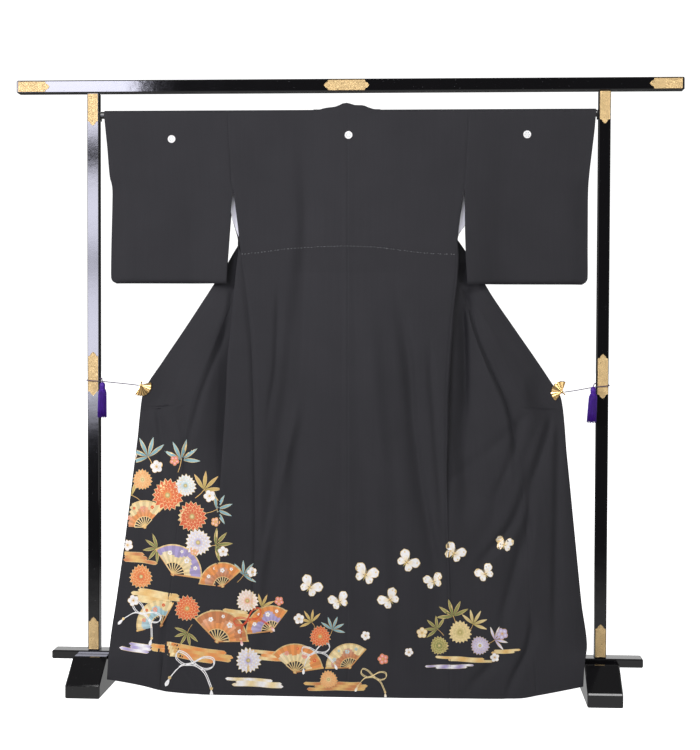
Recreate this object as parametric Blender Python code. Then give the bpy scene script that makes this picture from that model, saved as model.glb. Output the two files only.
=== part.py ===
"""A kurotomesode hung back to the front on a lacquered kimono stand, its two fronts drawn open by fan clips.

X runs to the right as seen from the front of the stand, Y away from it, Z up. All sizes are in metres.
"""

import math

import bmesh
import bpy
import numpy as np
from mathutils import Matrix, Vector

# Stand
BEAM_LENGTH = 1.834
BEAM_BOTTOM = 1.6555
BEAM_HEIGHT = 0.035
BEAM_DEPTH = 0.036
POST_CENTRE = 0.7035
POST_SIDE = 0.032
FOOT_WIDTH = 0.095
FOOT_HALF_LENGTH = 0.156
FOOT_TOE_HEIGHT = 0.037
FOOT_FLAT_HALF = 0.061
FOOT_HEIGHT = 0.0955
RAIL_LENGTH = 1.638
RAIL_DEPTH = 0.056
RAIL_BOTTOM = 0.081
RAIL_HEIGHT = 0.024
ROD_RADIUS = 0.010
ROD_HEIGHT = 1.5955
SOCKET_LENGTH = 0.0036
GAP = 0.0003

# Cloth
WALL = 0.0016
COLLAR_WALL = 0.0030
OVER_ROD = 0.0118
FRONT_WIDTH = 0.247
NECK_HALF = 0.0885
ARM_SEAM_END = 1.383
SIDE_SEAM_TOP = 1.212
HEM_Y = -0.1020
SEAM_GAP = 0.0002
BACK_TOP = 1.5907

BODY_COLUMNS = 15
NECK_COLUMNS = 4

# Height, side seam, outer turn, edge of the front panel, free edge: distances from the middle plane
LEFT_OUTLINE = np.array(
    [
        (0.0000, 0.260, 0.385, 0.502, 0.6476),
        (0.1300, 0.256, 0.375, 0.490, 0.6412),
        (0.2600, 0.249, 0.362, 0.478, 0.6280),
        (0.4300, 0.245, 0.350, 0.462, 0.6075),
        (0.5600, 0.246, 0.345, 0.450, 0.5940),
        (0.7000, 0.249, 0.337, 0.438, 0.5796),
        (0.8150, 0.251, 0.331, 0.418, 0.5690),
        (0.8470, 0.252, 0.330, 0.407, 0.5552),
        (0.9100, 0.255, 0.328, 0.382, 0.5125),
        (1.0070, 0.261, 0.319, 0.342, 0.4460),
        (1.1000, 0.272, 0.311, 0.308, 0.3850),
        (1.1300, 0.276, 0.309, 0.298, 0.3655),
        (1.1700, 0.282, 0.305, 0.281, 0.3385),
        (1.2200, 0.289, 0.300, 0.245, 0.3100),
        (1.3000, 0.2985, 0.3040, 0.200, 0.2600),
        (1.3800, 0.3105, 0.3105, 0.166, 0.2265),
        (1.4000, 0.315, 0.315, 0.158, 0.2180),
        (1.5000, 0.322, 0.322, 0.122, 0.1760),
        (1.5500, 0.326, 0.326, 0.104, 0.1560),
        (1.5955, 0.329, 0.329, 0.0893, 0.1400),
    ]
)
RIGHT_OUTLINE = np.array(
    [
        (0.0000, 0.292, 0.302, 0.525, 0.6500),
        (0.0600, 0.290, 0.300, 0.522, 0.6535),
        (0.1200, 0.288, 0.298, 0.518, 0.6615),
        (0.2600, 0.285, 0.295, 0.508, 0.6475),
        (0.4800, 0.279, 0.289, 0.495, 0.6260),
        (0.6600, 0.275, 0.286, 0.471, 0.6085),
        (0.8150, 0.275, 0.286, 0.437, 0.5930),
        (0.8500, 0.276, 0.288, 0.421, 0.5720),
        (0.9100, 0.279, 0.291, 0.395, 0.5315),
        (1.0080, 0.286, 0.298, 0.358, 0.4630),
        (1.1000, 0.296, 0.306, 0.333, 0.3995),
        (1.1300, 0.299, 0.309, 0.312, 0.3815),
        (1.2200, 0.305, 0.312, 0.238, 0.3280),
        (1.2500, 0.306, 0.311, 0.222, 0.3070),
        (1.3000, 0.3110, 0.3110, 0.195, 0.2680),
        (1.3800, 0.3225, 0.3225, 0.163, 0.2336),
        (1.4000, 0.325, 0.325, 0.155, 0.2250),
        (1.5000, 0.331, 0.331, 0.120, 0.1820),
        (1.5500, 0.334, 0.334, 0.103, 0.1580),
        (1.5955, 0.335, 0.335, 0.0893, 0.1400),
    ]
)
# Height, seam between collar and front: the distance from the middle plane
COLLAR_SEAM = {
    -1: np.array([(0.79, 0.513), (0.85, 0.484), (1.00, 0.388), (1.10, 0.325), (1.17, 0.281)]),
    1: np.array([(0.79, 0.537), (0.85, 0.501), (1.00, 0.401), (1.06, 0.361), (1.10, 0.333)]),
}
# Height, Y of the front panel's edge, Y of the free edge
FRONT_DEPTHS = np.array(
    [
        (0.000, -0.1000, -0.1000),
        (0.060, -0.0985, -0.0960),
        (0.120, -0.0950, -0.0830),
        (0.260, -0.0820, -0.0640),
        (0.400, -0.0700, -0.0470),
        (0.600, -0.0550, -0.0250),
        (0.850, -0.0360, 0.0000),
        (1.000, -0.0300, -0.0030),
        (1.130, -0.0150, -0.0010),
        (1.220, -0.0085, 0.0035),
        (1.300, -0.0030, 0.0080),
        (1.400, 0.0055, 0.0140),
        (1.500, 0.0145, 0.0220),
        (1.550, 0.0165, 0.0250),
        (1.5955, 0.0118, 0.0250),
    ]
)
# Distance from the middle plane, height of the hem
LEFT_HEM = [(0.0, 0.0045), (0.364, 0.0045), (0.478, 0.0105), (0.551, 0.0260), (0.62, 0.0380), (0.65, 0.0420)]
RIGHT_HEM = [(0.0, 0.0045), (0.292, 0.006), (0.427, 0.007), (0.480, 0.009), (0.534, 0.019), (0.66, 0.046)]
HEM_LINE = {-1: np.array(LEFT_HEM), 1: np.array(RIGHT_HEM)}
# Foot X, foot Z, head X, head Z, depth, half width at the foot, half width at the head
BACK_FOLDS = [
    (-0.225, 0.42, -0.110, 1.370, 0.0055, 0.030, 0.016),
    (-0.235, 0.02, -0.152, 1.060, 0.0050, 0.035, 0.018),
    (0.270, 0.10, 0.125, 1.190, 0.0060, 0.032, 0.016),
    (0.112, 0.43, 0.060, 0.800, 0.0030, 0.022, 0.012),
    (0.175, 0.05, 0.150, 0.750, -0.0030, 0.030, 0.015),
    (-0.195, 0.30, -0.160, 0.800, -0.0030, 0.025, 0.015),
]
CLIP_FOLDS = [
    (0.330, 0.36, 0.560, 0.810, 0.0090, 0.034, 0.010),
    (0.440, 0.30, 0.574, 0.790, 0.0085, 0.030, 0.009),
    (0.520, 0.05, 0.582, 0.760, 0.0045, 0.030, 0.010),
    (0.300, 0.60, 0.520, 0.800, 0.0050, 0.030, 0.012),
    (-0.505, 0.50, -0.552, 0.780, 0.0060, 0.020, 0.009),
    (-0.430, 0.45, -0.530, 0.790, 0.0055, 0.026, 0.010),
    (-0.560, 0.10, -0.575, 0.760, 0.0045, 0.028, 0.010),
]
# Height, inner edge, outer edge: distances from the middle plane
LEFT_SLEEVE = np.array(
    [
        (1.1300, 0.3280, 0.6410),
        (1.1360, 0.3280, 0.6510),
        (1.1450, 0.3275, 0.6545),
        (1.1600, 0.3270, 0.6550),
        (1.2200, 0.3235, 0.6542),
        (1.2900, 0.3192, 0.6525),
        (1.3500, 0.3150, 0.6510),
        (1.3830, 0.3120, 0.6505),
        (1.4000, 0.3140, 0.6515),
        (1.4200, 0.3175, 0.6565),
        (1.4600, 0.3200, 0.6605),
        (1.5000, 0.3230, 0.6635),
        (1.5500, 0.3270, 0.6685),
        (1.5955, 0.3300, 0.6730),
    ]
)
RIGHT_SLEEVE = np.array(
    [
        (1.1290, 0.3330, 0.6470),
        (1.1350, 0.3330, 0.6560),
        (1.1450, 0.3325, 0.6608),
        (1.1600, 0.3315, 0.6612),
        (1.2200, 0.3280, 0.6605),
        (1.2900, 0.3258, 0.6602),
        (1.3500, 0.3250, 0.6600),
        (1.3830, 0.3240, 0.6603),
        (1.4200, 0.3275, 0.6625),
        (1.5000, 0.3320, 0.6710),
        (1.5500, 0.3350, 0.6765),
        (1.5955, 0.3360, 0.6800),
    ]
)
CUFF_BOTTOM = 1.400
SLEEVE_ROUND = 0.016
# Seam, ridge and free edge of the collar from the nape to where it lies straight, as X, Y, Z
NAPE_ROWS = [
    ((0.0000, -0.0128, 1.5930), (0.0000, -0.0060, 1.6235), (0.0000, 0.0160, 1.6070)),
    ((0.0420, -0.0128, 1.5935), (0.0410, -0.0045, 1.6165), (0.0430, 0.0180, 1.6050)),
    ((0.0700, -0.0128, 1.5965), (0.0700, -0.0015, 1.6125), (0.0780, 0.0200, 1.6020)),
    ((0.0850, -0.0115, 1.6015), (0.0870, 0.0020, 1.6120), (0.1000, 0.0220, 1.5985)),
    ((0.0865, -0.0050, 1.6090), (0.0940, 0.0075, 1.6120), (0.1160, 0.0235, 1.5950)),
    ((0.0868, 0.0060, 1.6095), (0.0990, 0.0150, 1.6090), (0.1290, 0.0250, 1.5900)),
    ((0.0870, 0.0145, 1.6010), (0.1070, 0.0205, 1.6010), (0.1380, 0.0260, 1.5840)),
    ((0.0890, 0.0165, 1.5830), (0.1140, 0.0225, 1.5890), (0.1460, 0.0262, 1.5770)),
]

CLIP_PIVOT = {-1: (-0.5720, 0.8460), 1: (0.5945, 0.8340)}
CLIP_SWEEP = {-1: (18.0, -132.0), 1: (76.0, 232.0)}
CORD_RADIUS = 0.0013
TASSEL_X = {-1: -0.674, 1: 0.6765}
TASSEL_TOP = {-1: 0.852, 1: 0.847}
TASSEL_Y = -0.0315
TASSEL_SIDES = 12
# Radius and drop below the top; the last rows share one drop and make the flat underside
TASSEL_PROFILE = [
    (0.0040, 0.0008),
    (0.0072, 0.0045),
    (0.0078, 0.0095),
    (0.0068, 0.0125),
    (0.0068, 0.0145),
    (0.0094, 0.0190),
    (0.0108, 0.0260),
    (0.0076, 0.0260),
    (0.0042, 0.0260),
]
STRAND_LENGTH = 0.0710
JAW_BLADES = 10
JAW_ROOT = 0.0020
JAW_REACH = 0.0290
JAW_THICK = 0.0013
JAW_PLEAT = 0.0010
JAW_Y = 0.0040
PIN_RADIUS = 0.0042
CLIP_LEVER = {-1: (0.0025, 0.0105), 1: (0.0080, -0.0065)}


def clear_scene():
    for old in list(bpy.data.objects):
        bpy.data.objects.remove(old, do_unlink=True)


def material(name, color, roughness, metallic=0.0):
    found = bpy.data.materials.get(name)
    if found:
        return found
    made = bpy.data.materials.new(name)
    made.use_nodes = True
    shader = made.node_tree.nodes["Principled BSDF"]
    shader.inputs["Base Color"].default_value = (*color, 1.0)
    shader.inputs["Roughness"].default_value = roughness
    shader.inputs["Metallic"].default_value = metallic
    made.diffuse_color = (*color, 1.0)
    return made


def black_silk():
    return material("black_silk", (0.035, 0.035, 0.040), 0.85)


def lacquer():
    return material("black_lacquer", (0.008, 0.008, 0.010), 0.12)


def gold():
    return material("gold_plate", (0.90, 0.66, 0.28), 0.28, 1.0)


def white_silk():
    return material("white_silk", (0.82, 0.81, 0.84), 0.6)


def purple_silk():
    return material("purple_silk", (0.07, 0.015, 0.30), 0.6)


def object_of(name, bm, paint, smooth=True):
    bmesh.ops.recalc_face_normals(bm, faces=bm.faces)
    mesh = bpy.data.meshes.new(name)
    bm.to_mesh(mesh)
    bm.free()
    made = bpy.data.objects.new(name, mesh)
    bpy.context.scene.collection.objects.link(made)
    made.data.materials.append(paint)
    for face in made.data.polygons:
        face.use_smooth = smooth
    return made


def box(name, size, centre, paint, bevel=0.0):
    bm = bmesh.new()
    bmesh.ops.create_cube(bm, size=1.0)
    bmesh.ops.scale(bm, vec=size, verts=bm.verts)
    bmesh.ops.translate(bm, vec=centre, verts=bm.verts)
    made = object_of(name, bm, paint, smooth=False)
    if bevel:
        edge = made.modifiers.new("edge", "BEVEL")
        edge.width = bevel
        edge.segments = 1
    return made


def prism(name, outline, depth, paint, bevel=0.0):
    """A solid of constant section: the outline in Y and Z runs along X through both depths."""
    bm = bmesh.new()
    ring = [bm.verts.new((depth[0], y, z)) for y, z in outline]
    face = bm.faces.new(ring)
    pushed = bmesh.ops.extrude_face_region(bm, geom=[face])
    moved = [item for item in pushed["geom"] if isinstance(item, bmesh.types.BMVert)]
    bmesh.ops.translate(bm, vec=(depth[1] - depth[0], 0.0, 0.0), verts=moved)
    made = object_of(name, bm, paint, smooth=False)
    if bevel:
        edge = made.modifiers.new("edge", "BEVEL")
        edge.width = bevel
        edge.segments = 1
    return made


def table(rows, column, height):
    """Column of the table at a height, eased through its rows by a monotone cubic."""
    x = rows[:, 0]
    y = rows[:, column]
    step = np.diff(x)
    slope = np.diff(y) / step
    tangent = np.zeros(len(x))
    for i in range(1, len(x) - 1):
        if slope[i - 1] * slope[i] > 0:
            w1 = 2 * step[i] + step[i - 1]
            w2 = step[i] + 2 * step[i - 1]
            tangent[i] = (w1 + w2) / (w1 / slope[i - 1] + w2 / slope[i])
    tangent[0] = slope[0]
    tangent[-1] = slope[-1]
    h = min(max(height, x[0]), x[-1])
    i = min(max(int(np.searchsorted(x, h, side="right")) - 1, 0), len(step) - 1)
    t = (h - x[i]) / step[i]
    start = (1 + 2 * t) * (1 - t) ** 2 * y[i] + t * (1 - t) ** 2 * step[i] * tangent[i]
    end = t * t * (3 - 2 * t) * y[i + 1] + t * t * (t - 1) * step[i] * tangent[i + 1]
    return float(start + end)


def ease(low, high, value):
    t = min(max((value - low) / (high - low), 0.0), 1.0)
    return t * t * (3 - 2 * t)


def outline(side):
    return LEFT_OUTLINE if side < 0 else RIGHT_OUTLINE


def middle(z):
    return 0.003 + 0.011 * (1.6 - z) / 1.6


def back_y(z):
    """Y of the back panel: plumb off the rod, then leaning out to the hem."""
    fall = min(max((ROD_HEIGHT - z) / ROD_HEIGHT, 0.0), 1.0)
    return -OVER_ROD + (HEM_Y + OVER_ROD) * fall


def inner_y(z):
    """Y of the front panel where it hangs behind the back panel."""
    top = OVER_ROD
    low = back_y(SIDE_SEAM_TOP) + 0.012
    if z < SIDE_SEAM_TOP:
        return back_y(z) + 0.012
    return low + (top - low) * (z - SIDE_SEAM_TOP) / (ROD_HEIGHT - SIDE_SEAM_TOP)


def fold_depth(folds, x, z):
    """Depth of the soft folds at a place: each is a trough that widens from its head to its foot."""
    total = 0.0
    for foot_x, foot_z, head_x, head_z, depth, foot_half, head_half in folds:
        t = (z - foot_z) / (head_z - foot_z)
        inside = ease(-0.25, 0.15, t) * (1 - ease(0.75, 1.02, t))
        if inside <= 0:
            continue
        centre = foot_x + (head_x - foot_x) * t + 0.012 * math.sin(math.pi * t)
        half = foot_half + (head_half - foot_half) * min(max(t, 0.0), 1.0)
        total += depth * inside * math.exp(-(((x - centre) / half) ** 2))
    return total


def back_point(side, x, z):
    reach = table(outline(side), 1, z)
    near_seam = 1 - ease(0.80, 1.0, abs(x) / reach)
    return Vector((x, back_y(z) + fold_depth(BACK_FOLDS, x, z) * near_seam, z))


def front_row(side, z, count):
    """Plan of the front panel at one height, from the side seam to its front edge."""
    rows = outline(side)
    start = table(rows, 1, z)
    turn = table(rows, 2, z)
    end = table(rows, 3, z)
    joined = 1 - ease(SIDE_SEAM_TOP - 0.01, SIDE_SEAM_TOP + 0.05, z)
    if z > SIDE_SEAM_TOP:
        start += 0.012 * ease(SIDE_SEAM_TOP, 1.30, z) * (1 - ease(1.305, 1.362, z))
    turn = start + max(turn - start, 0.0) * ease(0.1, 1.0, joined)
    back = (2 * turn + end - start - FRONT_WIDTH) / 2
    back = min(back, turn, end)
    out = turn - start
    hidden = turn - back
    again = end - back
    length = out + hidden + again
    soft = 0.0045
    layer = 0.011
    y_start = inner_y(z) + (back_y(z) - inner_y(z)) * joined
    y_end = table(FRONT_DEPTHS, 1, z)
    s = np.linspace(0.0, length, 321)
    first = s - out
    second = s - out - hidden

    def ramp(t):
        return (t + np.sqrt(t * t + soft * soft)) / 2

    def step(t):
        return (1 + t / np.sqrt(t * t + soft * soft)) / 2

    turned_in = ease(0.006, 0.016, hidden)
    turned_out = ease(0.003, 0.005, again)
    x = start + s - 2 * turned_in * (ramp(first) - turned_out * ramp(second))
    drift = np.linspace(x[0] - start, x[-1] - end, len(s))
    x = x - drift
    fullness = ease(0.0, 0.030, min(hidden, again))
    rise = step(first)
    rise = (rise - rise[0]) / max(1 - rise[0], 1e-6)
    y_inner = inner_y(z)
    y = y_start + (y_inner - y_start) * rise * ease(0.0, 0.02, hidden)
    y_flip = y_inner + layer * fullness
    y = y + (y_flip - y_inner) * step(second) * ease(0.0, 0.02, hidden)
    along = np.clip(second / max(again, 1e-6), 0.0, 1.0) if hidden > 0.004 else s / length
    settle = along * along * (3 - 2 * along)
    y = y + (y_end - y[-1]) * settle
    bend = np.abs(np.gradient(np.unwrap(np.arctan2(np.gradient(y), np.gradient(x)))))
    weight = np.concatenate([[0.0], np.cumsum(length / 320 + 0.018 * bend[1:])])
    wanted = np.linspace(0.0, weight[-1], count)
    at = np.interp(wanted, weight, s)
    px = np.interp(at, s, x)
    py = np.interp(at, s, y)
    fold = [fold_depth(CLIP_FOLDS, side * a, z) * ease(0.0, 0.12, q / length) for a, q in zip(px, at)]
    return [Vector((side * a, b + f, z)) for a, b, f in zip(px, py, fold)]


def hem_height(side, x):
    return table(HEM_LINE[side], 1, abs(x))


def pinch(point):
    """Flattens the cloth into the middle plane where a clip holds it."""
    side = 1 if point.x > 0 else -1
    px, pz = CLIP_PIVOT[side]
    reach = math.hypot(point.x - px, point.z - pz)
    held = 1 - ease(0.050, 0.110, reach)
    return Vector((point.x, point.y * (1 - held), point.z))


def squeeze(point, side, top=0.30):
    """Moves a point near the floor up so that the bottom row follows the hem line."""
    lift = hem_height(side, point.x) * (1 - ease(0.0, top, point.z))
    return Vector((point.x, point.y, point.z + lift))


def sheet(name, rows, wall, paint):
    """A cloth solid from rows of points: None marks a place with no cloth."""
    bm = bmesh.new()
    grid = [[bm.verts.new(p) if p is not None else None for p in row] for row in rows]
    for low, high in zip(grid[:-1], grid[1:]):
        for i in range(len(low) - 1):
            corners = (low[i], low[i + 1], high[i + 1], high[i])
            if all(corners):
                bm.faces.new(corners)
    made = object_of(name, bm, paint)
    thick = made.modifiers.new("wall", "SOLIDIFY")
    thick.thickness = wall
    thick.offset = 0.0
    thick.use_even_offset = True
    thick.thickness_clamp = 0.0
    return made


LOW_HEIGHTS = [0.0, 0.10, 0.20, 0.30, 0.40, 0.50, 0.60, 0.70, 0.79, 0.82, 0.86, 0.93, 1.00]
LOW_HEIGHTS += [1.05, 1.10, 1.13, 1.17, 1.212]
ARM_HEIGHTS = [1.383, 1.40, 1.44, 1.48, 1.52, 1.555]
BACK_HEIGHTS = LOW_HEIGHTS + [1.29] + ARM_HEIGHTS + [1.580]
FRONT_HEIGHTS = LOW_HEIGHTS + [1.23, 1.25, 1.29, 1.33] + ARM_HEIGHTS + [1.580]
COLLAR_END = 0.79
OKUMI_TOP = {-1: 1.17, 1: 1.10}


def neck_marks(side, z):
    """Distances from the middle plane across the back, from the back seam to the neck."""
    centre = side * middle(z) + SEAM_GAP
    step = (NECK_HALF + 0.0008 - centre) / (NECK_COLUMNS - 1)
    return [centre + step * k for k in range(NECK_COLUMNS - 1)]


def shoulder_marks(side, z):
    """Distances from the middle plane across the shoulder, from the neck to the arm seam."""
    reach = table(outline(side), 1, z) - SEAM_GAP
    return list(np.linspace(NECK_HALF + 0.0008, reach, BODY_COLUMNS - NECK_COLUMNS + 1))


def over_rod(side, across, angle):
    """A row over the rod, at an angle from the back of it."""
    y = -OVER_ROD * math.cos(math.radians(angle))
    z = ROD_HEIGHT + OVER_ROD * math.sin(math.radians(angle))
    return [Vector((side * m, y, z)) for m in across]


def back(side, name):
    """The back half of a body length, up to the height where it reaches the rod."""
    rows = []
    for z in BACK_HEIGHTS:
        marks = neck_marks(side, z) + shoulder_marks(side, z)
        rows.append([squeeze(back_point(side, side * m, z), side) for m in marks])
    marks = neck_marks(side, ROD_HEIGHT) + shoulder_marks(side, ROD_HEIGHT)
    rows.append([Vector((side * m, -OVER_ROD, BACK_TOP)) for m in marks])
    return sheet(name, rows, WALL, black_silk())


def shoulder(side, name):
    """The stretch of a body length that lies over the rod."""
    across = shoulder_marks(side, ROD_HEIGHT)
    low = BACK_TOP + 2 * SEAM_GAP
    rows = [[Vector((side * m, -OVER_ROD, low)) for m in across]]
    rows += [over_rod(side, across, angle) for angle in (0, 36, 72, 108, 144, 180)]
    rows.append([Vector((side * m, OVER_ROD, low)) for m in across])
    return sheet(name, rows, WALL, black_silk())


def front(side, name):
    """The front half of a body length, from the rod down to the hem."""
    across = shoulder_marks(side, ROD_HEIGHT)
    rows = [[Vector((side * m, OVER_ROD, BACK_TOP)) for m in across]]
    for z in reversed(FRONT_HEIGHTS):
        row = front_row(side, z, len(across))
        row[0].x += side * SEAM_GAP * (3 if z < 1.22 else 1)
        row[-1].x -= side * SEAM_GAP
        rows.append([pinch(squeeze(p, side)) for p in reversed(row)])
    return sheet(name, rows, WALL, black_silk())


def collar_share(side, z):
    """Where the collar's seam lies between the front panel's edge and the free edge."""
    inner = table(outline(side), 3, z)
    outer = table(outline(side), 4, z)
    return max(table(COLLAR_SEAM[side], 1, z) - 0.0012 - inner, 0.0) / (outer - inner)


def okumi_point(side, share, z):
    inner = table(outline(side), 3, z) + SEAM_GAP
    outer = table(outline(side), 4, z)
    y_in = table(FRONT_DEPTHS, 1, z)
    y_out = table(FRONT_DEPTHS, 2, z)
    x = side * (inner + (outer - inner) * share)
    y = y_in + (y_out - y_in) * share + fold_depth(CLIP_FOLDS, x, z)
    return pinch(squeeze(Vector((x, y, z)), side))


def okumi(side, name):
    """The overlap panel: from the front panel's edge to the free edge, its top running up to a point."""
    top = OKUMI_TOP[side]
    rows = []
    for z in [h for h in LOW_HEIGHTS if h < top - 0.01]:
        share = 1.0 if z < COLLAR_END else collar_share(side, z)
        rows.append([okumi_point(side, share * k / 4, z) for k in range(5)])
        if z == 0.70:
            rows.append([okumi_point(side, k / 4, COLLAR_END - 0.0075) for k in range(5)])
    tip = okumi_point(side, 0.0, top)
    rows.append([p.lerp(tip, 0.75) for p in rows[-1]])
    return sheet(name, rows, WALL, black_silk())


def sleeve_row(side, x_share, z, front):
    rows = LEFT_SLEEVE if side < 0 else RIGHT_SLEEVE
    inner = table(rows, 1, z)
    if z >= ARM_SEAM_END:
        inner = table(outline(side), 1, z) + 3 * SEAM_GAP
    outer = table(rows, 2, z)
    x = inner + (outer - inner) * x_share
    round_off = min(max((rows[0, 0] + SLEEVE_ROUND - z) / SLEEVE_ROUND, 0.0), 1.0)
    full = math.sqrt(max(1 - round_off * round_off, 0.0))
    half = OVER_ROD * full
    half *= 1 - 0.62 * ease(0.84, 1.0, x_share) * (1 - ease(1.38, 1.43, z))
    far_y = half if front else -half
    middle_y = (inner_y(z) + back_y(z)) / 2
    near_y = middle_y + ((inner_y(z) if front else back_y(z)) - middle_y) * full
    blend = ease(0.0, 0.34, x_share)
    wave = 0.0012 * math.sin(9.0 * x_share + 1.3 + 2.0 * side) * (1 - ease(1.30, 1.57, z))
    y = near_y + (far_y - near_y) * blend + wave * ease(0.0, 0.2, x_share)
    return Vector((side * x, y, z))


SLEEVE_HEIGHTS = [1.1360, 1.1450, 1.1600, 1.2200, 1.2900, 1.3500] + ARM_HEIGHTS + [1.580]
SLEEVE_COLUMNS = 9


def sleeve(side, name):
    shares = [k / (SLEEVE_COLUMNS - 1) for k in range(SLEEVE_COLUMNS)]
    bottom = (LEFT_SLEEVE if side < 0 else RIGHT_SLEEVE)[0, 0]
    ring = [("back", z) for z in SLEEVE_HEIGHTS]
    ring += [("rod", a) for a in (0, 36, 72, 108, 144, 180)]
    ring += [("front", z) for z in reversed(SLEEVE_HEIGHTS)]
    ring += [("bottom", bottom)]
    bm = bmesh.new()
    grid = []
    for kind, value in ring:
        row = []
        for share in shares:
            if kind == "rod":
                base = sleeve_row(side, share, ROD_HEIGHT, False)
                y = -OVER_ROD * math.cos(math.radians(value))
                z = ROD_HEIGHT + OVER_ROD * math.sin(math.radians(value))
                point = Vector((base.x, y, z))
            elif kind == "bottom":
                near = sleeve_row(side, share, SLEEVE_HEIGHTS[0], False)
                far = sleeve_row(side, share, SLEEVE_HEIGHTS[0], True)
                under = sleeve_row(side, share, value, False)
                point = Vector((under.x, (near.y + far.y) / 2, value))
            else:
                point = sleeve_row(side, share, value, kind == "front")
            row.append(bm.verts.new(point))
        grid.append(row)
    count = len(ring)
    for i in range(count):
        low = grid[i]
        high = grid[(i + 1) % count]
        for k in range(SLEEVE_COLUMNS - 1):
            bm.faces.new((low[k], low[k + 1], high[k + 1], high[k]))
    closed = [i for i, z in enumerate(SLEEVE_HEIGHTS) if z <= CUFF_BOTTOM]
    last = len(SLEEVE_HEIGHTS) * 2 + 6
    for i in closed[:-1]:
        a = grid[i][-1]
        b = grid[i + 1][-1]
        c = grid[last - 2 - i][-1]
        d = grid[last - 1 - i][-1]
        bm.faces.new((a, b, c, d))
    bm.faces.new((grid[0][-1], grid[last - 1][-1], grid[last][-1]))
    made = object_of(name, bm, black_silk())
    thick = made.modifiers.new("wall", "SOLIDIFY")
    thick.thickness = WALL
    thick.offset = 0.0
    thick.use_even_offset = True
    thick.thickness_clamp = 0.0
    return made


def collar_rows(side):
    """Seam, middle and free edge of the collar down one side, below the nape."""
    rows = []
    for z in [h for h in reversed(FRONT_HEIGHTS) if COLLAR_END <= h < 1.56]:
        seam_rows = COLLAR_SEAM[side]
        if z < OKUMI_TOP[side]:
            x = table(seam_rows, 1, z)
            inner = table(outline(side), 3, z)
            outer = table(outline(side), 4, z)
            t = (x - inner) / (outer - inner)
            y_in = table(FRONT_DEPTHS, 1, z)
            y = y_in + (table(FRONT_DEPTHS, 2, z) - y_in) * t
        else:
            x = table(outline(side), 3, z)
            y = table(FRONT_DEPTHS, 1, z)
        edge_z = z + 0.028 * ease(0.82, 0.92, z) - 0.006 * (1 - ease(0.79, 0.82, z))
        edge_x = table(outline(side), 4, edge_z)
        edge_y = table(FRONT_DEPTHS, 2, edge_z)
        lift = 0.0030 * ease(1.53, 1.58, z)
        seam = Vector((side * (x + 0.0006), y + lift, z))
        edge = Vector((side * edge_x, edge_y, edge_z))
        fold = fold_depth(CLIP_FOLDS, seam.x, seam.z)
        seam.y += fold
        rows.append((seam, (seam + edge) / 2, edge))
    return rows


def collar():
    """One folded strip from clip to clip over the nape."""
    right = [tuple(Vector(p) for p in row) for row in NAPE_ROWS] + collar_rows(1)
    left = [tuple(Vector((-p[0], p[1], p[2])) for p in row) for row in NAPE_ROWS[1:]]
    left += collar_rows(-1)
    chain = list(reversed(left)) + right
    rows = []
    for seam, ridge, edge in chain:
        control = ridge * 2 - (seam + edge) / 2
        row = []
        for k in range(6):
            t = k / 5
            place = seam * (1 - t) ** 2 + control * 2 * t * (1 - t) + edge * t * t
            row.append(pinch(place))
        rows.append(row)
    made = sheet("collar", rows, COLLAR_WALL, black_silk())
    made.modifiers["wall"].use_even_offset = False
    return made


def lining(side, name):
    """The white strip along the open side slit, on the inner face of the front."""
    rows = []
    for z in (1.25, 1.29, 1.33, 1.383):
        row = front_row(side, z, 120)
        strip = []
        for inset in (0.0002, 0.008, 0.016, 0.024):
            near = min(row[:60], key=lambda p: abs(abs(row[0].x - p.x) - inset))
            strip.append(Vector((row[0].x - side * inset, near.y - 0.0023, z)))
        rows.append(strip)
    rows[0] = [a.lerp(b, 0.35) for a, b in zip(rows[1], rows[0])]
    rows[3] = [a.lerp(b, 0.70) for a, b in zip(rows[2], rows[3])]
    return sheet(name, rows, 0.001, white_silk())


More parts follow.
